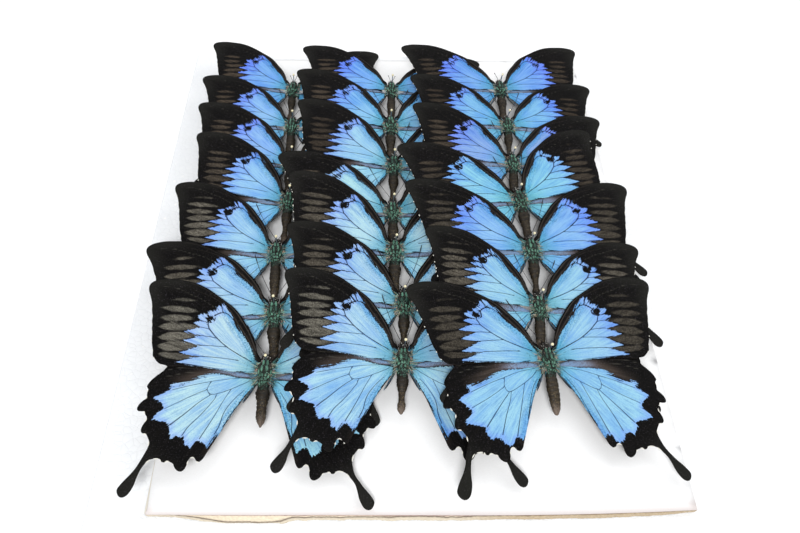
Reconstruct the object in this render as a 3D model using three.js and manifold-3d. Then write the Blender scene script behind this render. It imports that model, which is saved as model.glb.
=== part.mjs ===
// Display board of twenty-one spread swallowtail butterflies.
// A thick expanded-polystyrene slab carries a white-faced corrugated card, and
// three columns of seven butterflies are pinned through the card into the foam.
// Every column is laid like roof shingles: the specimen nearer the front edge
// lies over the one behind it, and each column lies over the column to its left.
// Units are millimetres, +Z is up, +Y points to the back of the board. The origin
// is the middle of the slab's underside.
import * as THREE from "three";
import { mergeVertices } from "three/addons/utils/BufferGeometryUtils.js";
import Module from "manifold-3d";

// ---- driving dimensions -------------------------------------------------
const SLAB_THICKNESS = 20;
const SLAB_FRONT_HALF = [-144.9, 146.6]; // hot-wire cut, a little narrower at the front
const SLAB_BACK_HALF = [-151.6, 151.6];
const SLAB_HALF_DEPTH = 150;
const SLAB_ARRIS = 0.8; // soft arris all round
const CARD_THICKNESS = 2.6;
const CARD_LIFT = 0.3; // the card lies on the slab with this gap
const CARD_BACK = 141;
const SHIFT = [-32, -144]; // from the card's front-edge datum to the slab's middle
const BED = SLAB_THICKNESS + CARD_LIFT + CARD_THICKNESS; // top face of the card

const WING_PLATE = 0.4; // thickness of a wing
const FORE_Z = 0.55; // forewing plate middle above the body axis
const HIND_Z = -0.05; // hindwing plate middle, just under the forewing
const NOSE_UP = 2.25; // degrees, lifts each specimen over the one behind
const RIGHT_DOWN = 4.5; // degrees, lifts each left wing over the column beside it

const PIN_RADIUS = 0.25;
const PIN_LENGTH = 38;
const PIN_HEAD_RADIUS = 0.75;
const PIN_HEAD_Z = 8; // bead centre above the wings
const HOLE_HALF = 0.56; // half width of each pin hole

// Each specimen: name, x, y of the thorax (from the card's front-edge datum),
// height above the card, turn, size, forewing turn left / right, hindwing turn
// left / right, right forewing size, abdomen length, pin x, pin y.
const SPECIMENS = [
  ["A1", -52.1, 241.7, 9, -0.2, 0.927, -1.1, 0.6, 0.5, -1.0, 1.0, 0.98, 0.3, 4.6],
  ["A2", -50.0, 209.1, 9, 0.5, 0.955, -3.2, -2.0, -1.0, 1.5, 0.955, 0.95, 0.2, 4.8],
  ["A3", -47.9, 179.1, 9, -0.4, 1.008, -0.2, 1.5, 1.0, 0.0, 0.955, 0.86, 0.2, 5.6],
  ["A4", -47.0, 152.0, 9, -0.9, 1.004, 2.4, 0.5, -1.0, -1.5, 0.9, 0.95, 0.6, 4.3],
  ["A5", -49.8, 118.5, 9, 1.8, 0.973, 0.9, 0.0, 0.0, 1.0, 0.955, 1.0, 0.0, 4.5],
  ["A6", -47.5, 84.4, 9, 4.3, 1.024, -5.5, -2.5, -2.0, -1.0, 0.955, 0.92, 0.0, 4.4],
  ["A7", -48.3, 54.7, 9, -0.5, 1.013, -0.4, -1.0, 0.8, -4.7, 0.955, 0.84, 0.2, 4.4],
  ["B1", 6.2, 240.8, 10, -0.1, 0.928, -6.1, -8.5, 0.0, 2.0, 1.0, 0.98, 0.2, 4.5],
  ["B2", 5.5, 209.1, 10, 0.5, 1.014, 0.4, 1.0, 1.5, -1.0, 1.0, 0.88, 0.0, 4.6],
  ["B3", 6.9, 177.2, 10, -0.4, 1.04, 3.2, 2.0, 0.0, 0.5, 1.0, 0.95, 0.0, 4.6],
  ["B4", 6.0, 143.9, 10, 1.5, 1.017, -6.0, -4.5, -2.0, 1.0, 1.0, 0.74, 0.4, 5.6],
  ["B5", 6.8, 118.7, 10, -0.2, 1.045, 3.9, 2.5, 0.5, -0.5, 1.0, 0.92, 0.3, 4.4],
  ["B6", 10.5, 88.6, 10, 0.1, 1.02, 0.2, 1.5, 0.0, 1.0, 1.0, 0.86, -0.1, 4.5],
  ["B7", 9.5, 59.7, 10, -1.1, 1.002, 1.0, 0.0, 3.5, -0.7, 1.0, 0.87, 0.5, 6.0],
  ["C1", 70.9, 240.7, 11, 1.4, 0.984, -7.1, 0.3, 3.5, 9.6, 1.0, 0.98, 0.2, 4.5],
  ["C2", 71.3, 208.2, 11, -0.5, 0.959, -3.7, -2.5, 1.0, 0.5, 1.0, 0.96, 0.0, 4.6],
  ["C3", 70.6, 177.9, 11, -1.4, 0.982, -0.4, -1.0, -0.5, 1.0, 1.0, 0.84, 0.0, 4.5],
  ["C4", 70.9, 151.1, 11, 8.7, 1.038, -0.8, 4.0, 1.1, 3.1, 1.0, 0.95, 0.3, 4.4],
  ["C5", 72.4, 118.8, 11, 2.4, 1.054, -2.3, -1.9, 1.1, 3.0, 1.0, 0.97, 0.3, 4.4],
  ["C6", 71.2, 86.0, 11, -1.5, 0.947, 1.2, -2.6, 1.2, 1.2, 1.0, 0.88, 0.4, 4.4],
  ["C7", 71.1, 58.9, 11, 4.1, 1.004, -4.3, -3.6, -1.0, -2.8, 1.0, 0.89, 0.5, 3.6],
];

// Right-hand wing outlines about the thorax, at size 1.
const FOREWING = [
  [2.2, 5.8], [5.4, 13.4], [13.6, 27.2], [28.2, 39], [46.4, 44.2], [53.6, 42.3],
  [54.6, 39.3], [50.2, 24.7], [47.8, 11.5], [44.1, 3.4], [39.8, 1.5], [2.2, -0.6],
];
const FORE_HINGE = [4, 3];
const HINDWING = [
  [1.8, -1], [22, 3], [36.5, 3.2], [43.2, -3.5], [45.4, -9.4], [47.6, -17.6],
  [43, -21.6], [44, -26.9], [39.9, -32.2], [42.5, -40.8], [47.4, -49], [44.8, -51.8],
  [39.8, -39.6], [29.3, -38.6], [26.1, -41.8], [22.6, -36.6], [19, -37.6],
  [10, -16.9], [1.8, -4.4],
];
const HIND_HINGE = [4, -3.5];
// Body stations: y, half width, half height, centre z. Abdomen from y = -6.6.
const BODY = [
  [8.4, 0.7, 0.6, -0.3], [5.6, 1.8, 1.7, -0.1], [2.2, 3.0, 2.9, 0], [-2.4, 3.1, 3.0, 0],
  [-6.6, 1.9, 1.8, -0.2], [-12, 2.2, 2.0, -1.2], [-19.5, 1.6, 1.5, -3.0], [-24.6, 0.35, 0.35, -4.4],
];
const ABDOMEN_START = -6.6;
const BODY_SIDES = 6;

// ---- solids ---------------------------------------------------------------
const wasm = await Module();
wasm.setup();

function toSolid(geometry, matrix) {
  let g = geometry.index ? geometry.toNonIndexed() : geometry.clone();
  for (const name of Object.keys(g.attributes)) if (name !== "position") g.deleteAttribute(name);
  if (matrix) g.applyMatrix4(matrix);
  g = mergeVertices(g, 1e-4);
  return new wasm.Manifold(
    new wasm.Mesh({
      numProp: 3,
      vertProperties: new Float32Array(g.attributes.position.array),
      triVerts: new Uint32Array(g.index.array),
    }),
  );
}

function toGeometry(solid) {
  const m = solid.getMesh();
  const pos = new Float32Array((m.vertProperties.length / m.numProp) * 3);
  for (let i = 0; i < pos.length / 3; i++)
    for (let k = 0; k < 3; k++) pos[i * 3 + k] = m.vertProperties[i * m.numProp + k];
  const g = new THREE.BufferGeometry();
  g.setAttribute("position", new THREE.BufferAttribute(pos, 3));
  g.setIndex(new THREE.BufferAttribute(new Uint32Array(m.triVerts), 1));
  g.computeVertexNormals();
  return g;
}

// A flat plate from an outline, its middle at height z.
function plate(points, thickness, z) {
  const shape = new THREE.Shape(points.map(([x, y]) => new THREE.Vector2(x, y)));
  const g = new THREE.ExtrudeGeometry(shape, { depth: thickness, bevelEnabled: false });
  g.translate(0, 0, z - thickness / 2);
  return g;
}

// Turns an outline about a hinge point, sizes it, and mirrors it for the left side.
function wingOutline(points, hinge, size, turn, left) {
  const a = THREE.MathUtils.degToRad(turn);
  const c = Math.cos(a), s = Math.sin(a);
  const out = points.map(([x, y]) => {
    const dx = (x - hinge[0]) * size, dy = (y - hinge[1]) * size;
    return [hinge[0] + dx * c - dy * s, hinge[1] + dx * s + dy * c];
  });
  return left ? out.map(([x, y]) => [-x, y]).reverse() : out;
}

// A closed skin over elliptical stations along Y.
function bodyGeometry(size, abdomen) {
  const pos = [], idx = [];
  const rings = BODY.map(([y, rx, rz, z]) => {
    const yy = y < ABDOMEN_START ? ABDOMEN_START + (y - ABDOMEN_START) * abdomen : y;
    return [yy * size, rx * size, rz * size, z * size];
  });
  rings.forEach(([y, rx, rz, z]) => {
    for (let k = 0; k < BODY_SIDES; k++) {
      const t = ((k + 0.5) / BODY_SIDES) * Math.PI * 2;
      pos.push(rx * Math.cos(t), y, z + rz * Math.sin(t));
    }
  });
  const n = BODY_SIDES, last = (rings.length - 1) * n;
  for (let r = 0; r < rings.length - 1; r++)
    for (let k = 0; k < n; k++) {
      const a = r * n + k, b = r * n + ((k + 1) % n);
      idx.push(a, b, b + n, a, b + n, a + n);
    }
  for (let k = 1; k < n - 1; k++) {
    idx.push(0, k + 1, k);
    idx.push(last, last + k, last + k + 1);
  }
  const g = new THREE.BufferGeometry();
  g.setAttribute("position", new THREE.Float32BufferAttribute(pos, 3));
  g.setIndex(idx);
  return g;
}

function positive(solid) {
  if (solid.volume() <= 0) throw new Error("a solid is inside out");
  return solid;
}

// ---- finishes ---------------------------------------------------------------
const finish = (name, color, roughness, metalness = 0) =>
  new THREE.MeshStandardMaterial({ name, color, roughness, metalness });
const foamFinish = finish("white_foam", 0xf4f5f6, 0.85);
const cardFinish = finish("white_faced_card", 0xf2f1ee, 0.75);
const butterflyFinish = finish("butterfly", 0x4a86c8, 0.55);
const pinFinish = finish("pin", 0xe9e2bd, 0.3);

// ---- assembly ---------------------------------------------------------------
const board = new THREE.Group();
const tilt = new THREE.Quaternion()
  .setFromAxisAngle(new THREE.Vector3(0, 1, 0), THREE.MathUtils.degToRad(RIGHT_DOWN))
  .multiply(new THREE.Quaternion().setFromAxisAngle(new THREE.Vector3(1, 0, 0), THREE.MathUtils.degToRad(NOSE_UP)));

const holes = [];
for (const [name, x, y, height, turn, size, fl, fr, hl, hr, rightFore, abdomen, px, py] of SPECIMENS) {
  const specimen = new THREE.Group();
  specimen.position.set(x + SHIFT[0], y + SHIFT[1], BED + height);
  specimen.quaternion
    .copy(tilt)
    .multiply(new THREE.Quaternion().setFromAxisAngle(new THREE.Vector3(0, 0, 1), THREE.MathUtils.degToRad(turn)));

  const plates = [
    plate(wingOutline(FOREWING, FORE_HINGE, size, fl, true), WING_PLATE, FORE_Z),
    plate(wingOutline(FOREWING, FORE_HINGE, size * rightFore, fr, false), WING_PLATE, FORE_Z),
    plate(wingOutline(HINDWING, HIND_HINGE, size, hl, true), WING_PLATE, HIND_Z),
    plate(wingOutline(HINDWING, HIND_HINGE, size, hr, false), WING_PLATE, HIND_Z),
  ];
  let solid = positive(toSolid(bodyGeometry(size, abdomen)));
  for (const p of plates) solid = solid.add(positive(toSolid(p)));
  const bore = new THREE.BoxGeometry(2 * HOLE_HALF, 2 * HOLE_HALF, 30);
  bore.translate(px, py, 0);
  solid = solid.subtract(toSolid(bore));

  const butterfly = new THREE.Mesh(toGeometry(solid), butterflyFinish.clone());
  butterfly.name = "butterfly_" + name;
  specimen.add(butterfly);

  // pin: pointed steel shaft with a glass bead
  const top = PIN_HEAD_Z + PIN_HEAD_RADIUS;
  const profile = [
    [0, top - PIN_LENGTH], [PIN_RADIUS, top - PIN_LENGTH + 1.5], [PIN_RADIUS, PIN_HEAD_Z - 0.6],
    [PIN_HEAD_RADIUS, PIN_HEAD_Z], [0, top],
  ].map(([r, z]) => new THREE.Vector2(r, z));
  const pinGeometry = new THREE.LatheGeometry(profile, 6);
  pinGeometry.rotateX(Math.PI / 2);
  pinGeometry.translate(px, py, 0);
  const pin = new THREE.Mesh(pinGeometry, pinFinish.clone());
  pin.name = "pin_" + name;
  specimen.add(pin);
  board.add(specimen);

  // the pin's hole in the card and the slab, a little deeper than its point
  specimen.updateMatrixWorld(true);
  const depth = PIN_LENGTH - top + 1;
  const hole = new THREE.BoxGeometry(2 * HOLE_HALF, 2 * HOLE_HALF, depth);
  hole.translate(px, py, -depth / 2);
  holes.push(toSolid(hole, specimen.matrixWorld));
}

// foam slab: soft arrises, blind pin holes
const slabShape = new THREE.Shape([
  new THREE.Vector2(SLAB_FRONT_HALF[0] + SLAB_ARRIS, -SLAB_HALF_DEPTH + SLAB_ARRIS),
  new THREE.Vector2(SLAB_FRONT_HALF[1] - SLAB_ARRIS, -SLAB_HALF_DEPTH + SLAB_ARRIS),
  new THREE.Vector2(SLAB_BACK_HALF[1] - SLAB_ARRIS, SLAB_HALF_DEPTH - SLAB_ARRIS),
  new THREE.Vector2(SLAB_BACK_HALF[0] + SLAB_ARRIS, SLAB_HALF_DEPTH - SLAB_ARRIS),
]);
const slabGeometry = new THREE.ExtrudeGeometry(slabShape, {
  depth: SLAB_THICKNESS - 2 * SLAB_ARRIS,
  bevelEnabled: true,
  bevelThickness: SLAB_ARRIS,
  bevelSize: SLAB_ARRIS,
  bevelSegments: 1,
});
slabGeometry.translate(0, 0, SLAB_ARRIS);
let slab = positive(toSolid(slabGeometry));

// card: hand cut, its front edge slightly wavy and the front left corner dog-eared
const CARD_OUTLINE = [
  [-90.2, 1.2], [-88.4, 0.1], [-45, -0.4], [-4, -0.8], [34, -1.4], [60, -1.6], [84, -1.2], [122.3, -0.4],
  [123.2, 60], [124.0, 150], [124.4, CARD_BACK + 143.6], [-92.0, CARD_BACK + 144], [-91.4, 150], [-90.9, 60],
];
const cardShape = new THREE.Shape(
  CARD_OUTLINE.map(([x, y]) => new THREE.Vector2(x + SHIFT[0], y + SHIFT[1])),
);
const cardGeometry = new THREE.ExtrudeGeometry(cardShape, { depth: CARD_THICKNESS, bevelEnabled: false });
cardGeometry.translate(0, 0, SLAB_THICKNESS + CARD_LIFT);
let card = positive(toSolid(cardGeometry));

for (const hole of holes) {
  slab = slab.subtract(hole);
  card = card.subtract(hole);
}

const slabMesh = new THREE.Mesh(toGeometry(slab), foamFinish);
slabMesh.name = "foam_slab";
board.add(slabMesh);
const cardMesh = new THREE.Mesh(toGeometry(card), cardFinish);
cardMesh.name = "card_sheet";
board.add(cardMesh);

export default board;
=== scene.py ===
"""Board of twenty-one pinned swallowtail butterflies, in metres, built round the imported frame.

Left (A), middle (B) and right (C) columns, rows 1 (back) to 7 (front). Wings are thin closed
shells triangulated from drawn outlines, with the wing pattern held as distances on the mesh.
"""
import math

import bpy
import numpy as np
from mathutils import Matrix, Vector
from mathutils.geometry import delaunay_2d_cdt


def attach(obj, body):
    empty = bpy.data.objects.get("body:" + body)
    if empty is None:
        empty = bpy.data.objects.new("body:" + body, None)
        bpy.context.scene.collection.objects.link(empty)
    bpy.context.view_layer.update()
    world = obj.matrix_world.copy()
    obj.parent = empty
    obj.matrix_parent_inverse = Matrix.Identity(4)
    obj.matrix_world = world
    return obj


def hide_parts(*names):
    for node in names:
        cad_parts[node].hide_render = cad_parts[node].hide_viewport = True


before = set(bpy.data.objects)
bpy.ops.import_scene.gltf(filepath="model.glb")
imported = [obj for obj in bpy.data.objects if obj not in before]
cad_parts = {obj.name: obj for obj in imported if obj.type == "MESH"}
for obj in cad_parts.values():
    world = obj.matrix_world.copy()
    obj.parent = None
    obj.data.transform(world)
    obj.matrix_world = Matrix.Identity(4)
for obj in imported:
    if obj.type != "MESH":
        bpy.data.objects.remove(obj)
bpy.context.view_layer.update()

# ---------------------------------------------------------------- layout (mm)
SHIFT = np.array([-32.0, -144.0, 0.0])
SLAB_TOP = 20.0
CARD_LOW, CARD_TOP = 20.3, 22.9
NOSE_UP, RIGHT_DOWN = 2.25, 4.5
FORE_Z, HIND_Z, SHELL = 0.55, -0.05, 0.15
PIN_R, PIN_LEN, BEAD_R, BEAD_Z = 0.24, 38.0, 0.66, 8.0

# x, y, height, turn, size, forewing turn L R, hindwing turn L R, right forewing size, abdomen, pin x y
SPECIMENS = {
    "A1": (-52.1, 241.7, 9, -0.2, 0.927, -1.1, 0.6, 0.5, -1.0, 1.0, 0.98, 0.3, 4.6),
    "A2": (-50.0, 209.1, 9, 0.5, 0.955, -3.2, -2.0, -1.0, 1.5, 0.955, 0.95, 0.2, 4.8),
    "A3": (-47.9, 179.1, 9, -0.4, 1.008, -0.2, 1.5, 1.0, 0.0, 0.955, 0.86, 0.2, 5.6),
    "A4": (-47.0, 152.0, 9, -0.9, 1.004, 2.4, 0.5, -1.0, -1.5, 0.9, 0.95, 0.6, 4.3),
    "A5": (-49.8, 118.5, 9, 1.8, 0.973, 0.9, 0.0, 0.0, 1.0, 0.955, 1.0, 0.0, 4.5),
    "A6": (-47.5, 84.4, 9, 4.3, 1.024, -5.5, -2.5, -2.0, -1.0, 0.955, 0.92, 0.0, 4.4),
    "A7": (-48.3, 54.7, 9, -0.5, 1.013, -0.4, -1.0, 0.8, -4.7, 0.955, 0.84, 0.2, 4.4),
    "B1": (6.2, 240.8, 10, -0.1, 0.928, -6.1, -8.5, 0.0, 2.0, 1.0, 0.98, 0.2, 4.5),
    "B2": (5.5, 209.1, 10, 0.5, 1.014, 0.4, 1.0, 1.5, -1.0, 1.0, 0.88, 0.0, 4.6),
    "B3": (6.9, 177.2, 10, -0.4, 1.04, 3.2, 2.0, 0.0, 0.5, 1.0, 0.95, 0.0, 4.6),
    "B4": (6.0, 143.9, 10, 1.5, 1.017, -6.0, -4.5, -2.0, 1.0, 1.0, 0.74, 0.4, 5.6),
    "B5": (6.8, 118.7, 10, -0.2, 1.045, 3.9, 2.5, 0.5, -0.5, 1.0, 0.92, 0.3, 4.4),
    "B6": (10.5, 88.6, 10, 0.1, 1.02, 0.2, 1.5, 0.0, 1.0, 1.0, 0.86, -0.1, 4.5),
    "B7": (9.5, 59.7, 10, -1.1, 1.002, 1.0, 0.0, 3.5, -0.7, 1.0, 0.87, 0.5, 6.0),
    "C1": (70.9, 240.7, 11, 1.4, 0.984, -7.1, 0.3, 3.5, 9.6, 1.0, 0.98, 0.2, 4.5),
    "C2": (71.3, 208.2, 11, -0.5, 0.959, -3.7, -2.5, 1.0, 0.5, 1.0, 0.96, 0.0, 4.6),
    "C3": (70.6, 177.9, 11, -1.4, 0.982, -0.4, -1.0, -0.5, 1.0, 1.0, 0.84, 0.0, 4.5),
    "C4": (70.9, 151.1, 11, 8.7, 1.038, -0.8, 4.0, 1.1, 3.1, 1.0, 0.95, 0.3, 4.4),
    "C5": (72.4, 118.8, 11, 2.4, 1.054, -2.3, -1.9, 1.1, 3.0, 1.0, 0.97, 0.3, 4.4),
    "C6": (71.2, 86.0, 11, -1.5, 0.947, 1.2, -2.6, 1.2, 1.2, 1.0, 0.80, 0.4, 4.4),
    "C7": (71.1, 58.9, 11, 4.1, 1.004, -4.3, -3.6, -1.0, -2.8, 1.0, 0.89, 0.5, 3.6),
}
# extra swing of the tails, left and right, in degrees
TAILS = {"A7": (0.0, 12.0), "C7": (-5.0, 8.0), "B7": (0.0, 10.0), "C6": (0.0, 4.0), "A6": (0.0, -14.0)}
TAIL_LONG = {"C7": (1.13, 1.0)}
# how far the blue ends draw back from the outer margin, in mm
DRAWN_BACK = {"A4": .35, "A5": .6, "B3": .4, "B5": .45, "B6": .45, "B7": .28, "C2": .15, "C3": .45, "C4": .4, "C6": .6, "C7": .12}
# antennae: spread to the left and right in degrees, and length
ANTENNAE = {"C7": (35, 12, 25), "B7": (25, 18, 25), "A7": (38, 30, 16), "A1": (30, 20, 4), "B1": (24, 28, 4), "C1": (26, 22, 5)}

# ---------------------------------------------------------------- wing drawings (right side, mm, size 1)
FORE = [(2.2, -.6), (2.2, 5.8), (4.1, 8.8), (5.45, 13.4), (7.7, 18.4), (10.45, 22.5), (13.6, 27.2), (16.8, 30.6), (20, 33.1), (24.1, 36.1),
        (28.2, 39), (32.7, 41.5), (37.3, 43.1), (41.8, 43.8), (46.4, 44.2), (50, 43.8), (52.7, 42.9), (54.3, 41.3), (54.6, 39.3),
        (54.1, 37.2), (53, 34.7), (52, 32), (51.4, 29.7), (51, 27.5), (50.2, 24.7), (50, 22.5), (49.5, 20.6), (49.3, 18.8),
        (48.8, 17), (48.4, 14.3), (47.8, 11.5), (46.8, 8.4), (46.4, 6.1), (45.5, 5), (44.1, 3.4), (42.7, 2.5), (40.5, 2),
        (39.8, 1.5), (36.4, 1.7), (32.7, 1.7), (28.2, 1.4), (23.6, 1.1), (19.1, .4), (14.5, 0), (10, -.2), (4.5, -.4)]
HIND = [(1.8, -4.4), (1.8, -1.0), (4.1, -2.0), (12, 1.2), (22, 3.0), (31, 3.6), (36.5, 3.2), (39.1, 1.7), (40.2, .1), (41.4, -1.7),
        (43.2, -3.5), (45, -5.8), (45.7, -7.4), (45.9, -8.5), (45.1, -9.4), (45.2, -10.5), (45.1, -11.9), (44.9, -13.2),
        (46.1, -14.4), (47.2, -16), (47.6, -17.6), (47.2, -18.6), (45.9, -18.8), (44.6, -18.8), (44, -19.9), (43.1, -21),
        (43, -22.4), (43.6, -23.7), (44.1, -25.5), (44, -26.9), (43.2, -27.7), (41.8, -27.9), (40.9, -29.2), (40, -30.8),
        (39.9, -32.8), (40.5, -35.1), (41.4, -37.8), (42.5, -40.8), (43.9, -43.3), (45.5, -45.5), (46.7, -47.4), (47.4, -49),
        (47, -50.5), (45.9, -51.7), (44.5, -51.8), (43.2, -50.8), (42.3, -49), (41.7, -46.9), (41.4, -44.6), (40.8, -41.9),
        (39.8, -39.6), (38.4, -37.9), (36.8, -37.3), (35.2, -37.2), (34.3, -37.5), (33.9, -38.3), (32.7, -38.6), (31.8, -38),
        (30.7, -38.3), (29.3, -39), (28.6, -40.3), (27.3, -41.5), (26.1, -41.8), (25, -41.2), (24.3, -39.6), (24.1, -37.8),
        (23.6, -36.7), (22.6, -36.2), (21.6, -36.8), (20.9, -37.7), (19.8, -37.8), (18.6, -36.5), (17.7, -34.4), (16.6, -31.9),
        (15.2, -28.7), (13.6, -25.1), (11.8, -21), (10, -16.9), (7.7, -12.6), (5.5, -8.7), (4.3, -6.9)]
FORE_HINGE, HIND_HINGE = np.array([4.0, 3.0]), np.array([4.0, -3.5])

FORE_BLUE = [
    [(4.3, 4.6), (5, 5.6), (6.1, 8.4), (7.7, 12), (9.5, 14.7), (11.8, 17.5), (14.1, 20.2), (15.5, 22), (16.1, 23.8), (17.3, 25.6),
     (19.1, 27.1), (20.9, 27.5), (22.6, 26.8), (24.2, 25.7), (24.4, 23.1), (26.4, 22.5), (26.7, 21.8), (25.3, 19.6), (21.4, 15.2),
     (16.8, 11.3), (12.1, 8.3), (7.5, 5.8), (5.3, 4.2)],
    [(21.6, 31.8), (20.2, 30.6), (18.9, 28.8), (17.5, 27.2), (16.4, 25.2), (17, 25.7), (18.9, 27.3), (20.7, 28), (21.4, 29), (21.5, 30.2), (21.9, 31)],
    [(23.2, 31.3), (22.3, 30.6), (21.6, 28.8), (21.4, 27.9), (22.5, 28.6), (23.3, 29.7)],
    [(26.6, 27.5), (25.5, 28), (23.6, 28.6), (22.7, 28.6), (21.8, 27.9), (23, 27.3), (24.1, 26.6), (25.5, 25.9), (26.4, 26), (27, 26.8)],
    [(31.3, 25.9), (29.5, 26.2), (28, 26.3), (27.6, 25.6), (28, 24.9), (27.6, 23.9), (27.1, 22.9), (28.5, 23.2), (30.1, 24.1)],
    [(32.4, 22.2), (30, 22.9), (27.3, 22.5), (26.4, 21.1), (25.7, 19.5), (28.2, 20.1), (30.4, 21.1)],
    [(35.2, 18.1), (31.5, 19.2), (28.2, 19.9), (25.6, 19.3), (23.6, 17.2), (21.6, 15.1), (24.5, 15.7), (27.8, 16.1), (31.5, 17.0)],
    [(35.3, 13.5), (31, 14.9), (27.8, 15.9), (24.5, 15.5), (21.6, 14.9), (19.1, 12.8), (17, 11.2), (22, 11.4), (27.2, 11.6), (31, 12.3)],
    [(35.3, 7.9), (31, 9.8), (27.2, 11.3), (22, 11.2), (16.8, 10.9), (12.3, 7.9), (9.5, 6.3), (11.8, 5.4), (16.4, 5.8), (20.9, 6.1), (26.2, 6.5), (30.5, 6.8)],
    [(36.6, 3.5), (33, 4.6), (30, 5.5), (26.2, 6.2), (20, 5.8), (14.5, 5.3), (10.9, 4.6), (7.7, 3.4), (7.7, .6), (14.5, 0.1), (20, .9), (26, 1.7), (32, 2.6)],
    [(4.2, 4.5), (5.5, 3.9), (7.7, 5.4), (9.4, 6.2), (11.7, 5.1), (10.9, 4.7), (7.6, 3.6), (7.6, .5), (9, -.1), (4.4, -.3)],
]
FORE_SPOT = [(23.7, 26.3), (23.6, 24.4), (24.1, 22.9), (26.5, 22.2), (27.4, 23.3), (28.1, 24.4), (27.9, 25.6), (26.2, 25.9), (24.9, 26.7)]
# dark veins on the blue: points, half width at each end
FORE_VEINS = [
    ([(25.5, 19.3), (21.6, 15), (17, 11.1), (12.3, 8.1), (8.6, 6.0), (6.0, 4.7)], .19, .15),
    ([(20.9, 27.7), (22.7, 27.1), (24.3, 25.9)], .2, .26),
    ([(16.1, 24.2), (17.3, 25.7), (19.1, 27.2), (20.9, 27.7)], .12, .18),
    ([(26.6, 22.7), (25.5, 19.3)], .18, .19),
    ([(29.0, 20.2), (28, 19.9), (25.5, 19.3)], .13, .12),
    ([(28.6, 16.1), (24.5, 15.6), (21.6, 15)], .13, .10),
    ([(28.2, 11.5), (22, 11.3), (17, 11.1)], .13, .10),
    ([(27.2, 6.4), (20, 5.95), (14.5, 5.5), (11.2, 4.9)], .13, .10),
    ([(20.9, 27.7), (21.4, 29.2), (21.9, 31)], .14, .12),
    ([(14.6, 0.25), (20, 1.05), (28, 2.1), (34, 3.0)], .10, .16),
]
FORE_RIDGES = [
    [(27.2, 6.4), (33, 6.1), (38, 6.4), (44.7, 7.4), (46.4, 7.4)], [(28.2, 11.5), (33, 11.2), (40, 10.8), (44.8, 10.7), (47.2, 10.4)],
    [(28.6, 16.1), (33, 15.9), (40, 15.6), (47.9, 15.2)], [(29, 20.2), (35, 20.2), (40, 20.1), (49, 20.0)],
    [(27, 22.4), (30.9, 24), (36, 24.3), (42, 24.5), (49.9, 24.6)], [(27.6, 25.4), (30.9, 27.9), (36, 28.4), (42, 29.2), (50.8, 29.2)],
    [(22.7, 28.7), (28, 31.2), (34.5, 33.2), (40, 33.8), (45, 34), (52, 34.2)],
    [(21.8, 30.8), (25, 32.4), (30.9, 34.9), (36.4, 37.1), (42.3, 39.4), (48.6, 40.4), (53.4, 40)],
    [(5.5, 11.1), (8.6, 17.5), (11.8, 22.5), (14.5, 26.5), (17.7, 30), (21.4, 33.4), (24.5, 35.9), (28.2, 38.4), (32.7, 40.9), (38, 42.6), (45, 43.4)],
]
FORE_COSTA = [(4.6, 9.4), (5.6, 11.6), (8.4, 17.6), (11.4, 22.5), (14.2, 26.6), (17.4, 30.2), (21.1, 33.2), (24.5, 35.6), (28.2, 38.1), (32.7, 40.7), (37, 42.3)]
FORE_COSTA_2 = [(4.7, 7.4), (6.4, 11.2), (8.3, 14.5), (10.3, 17.5), (12.8, 21.0), (15.1, 24.4), (17.3, 27.8), (20.4, 31.2), (24.2, 33.9), (29, 36.4), (35, 38.8)]
FORE_STREAKS = [
    ([(44.7, 7.4), (41.4, 8.0), (35.3, 7.2), (26.9, 6.5), (31, 5.6), (35, 4.6), (41.1, 5.3)], 1),
    ([(46.3, 10.7), (41.9, 12.8), (35.9, 13.2), (31.5, 12.5), (27.6, 11.5), (31, 10.1), (33.8, 9.0), (38.4, 8.5), (42.7, 9.0)], 1),
    ([(46.7, 14.9), (42.4, 17.1), (36.2, 17.5), (31.5, 16.9), (28, 16.1), (31.5, 15.1), (35, 14.1), (39, 13.6), (43.9, 13.8)], 1),
    ([(47.3, 19.9), (42.9, 21.7), (36.6, 21.8), (32.4, 21.2), (28.5, 20.1), (32, 19.3), (36.4, 18.5), (42.6, 18.3)], 1),
    ([(47.8, 24.3), (43.3, 26.0), (37, 25.7), (30.7, 24.1), (36.7, 22.9), (43, 22.8)], 1),
    ([(48.4, 29.1), (42.6, 30.5), (35.4, 29.6), (29.6, 27.7), (35.2, 27.1), (42.2, 27.5)], .9),
    ([(46.7, 33.6), (41.1, 34.6), (35.9, 34.2), (31.3, 32.9), (36.4, 32.7), (42.2, 32.9)], .45),
]
FORE_LINES = [[(48.6, 40), (42.3, 39.3), (36.4, 36.5), (30.9, 34), (25, 30.2)]]
FORE_FRINGE = [(53.0, 34.7, .9), (51.3, 29.4, 1.1), (50.1, 25.0, 1.1), (49.5, 21.2, 1.2), (48.9, 17.3, 1.2), (48.1, 12.9, 1.2), (46.8, 8.6, 1.2), (45.6, 5.1, 1.0)]

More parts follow.
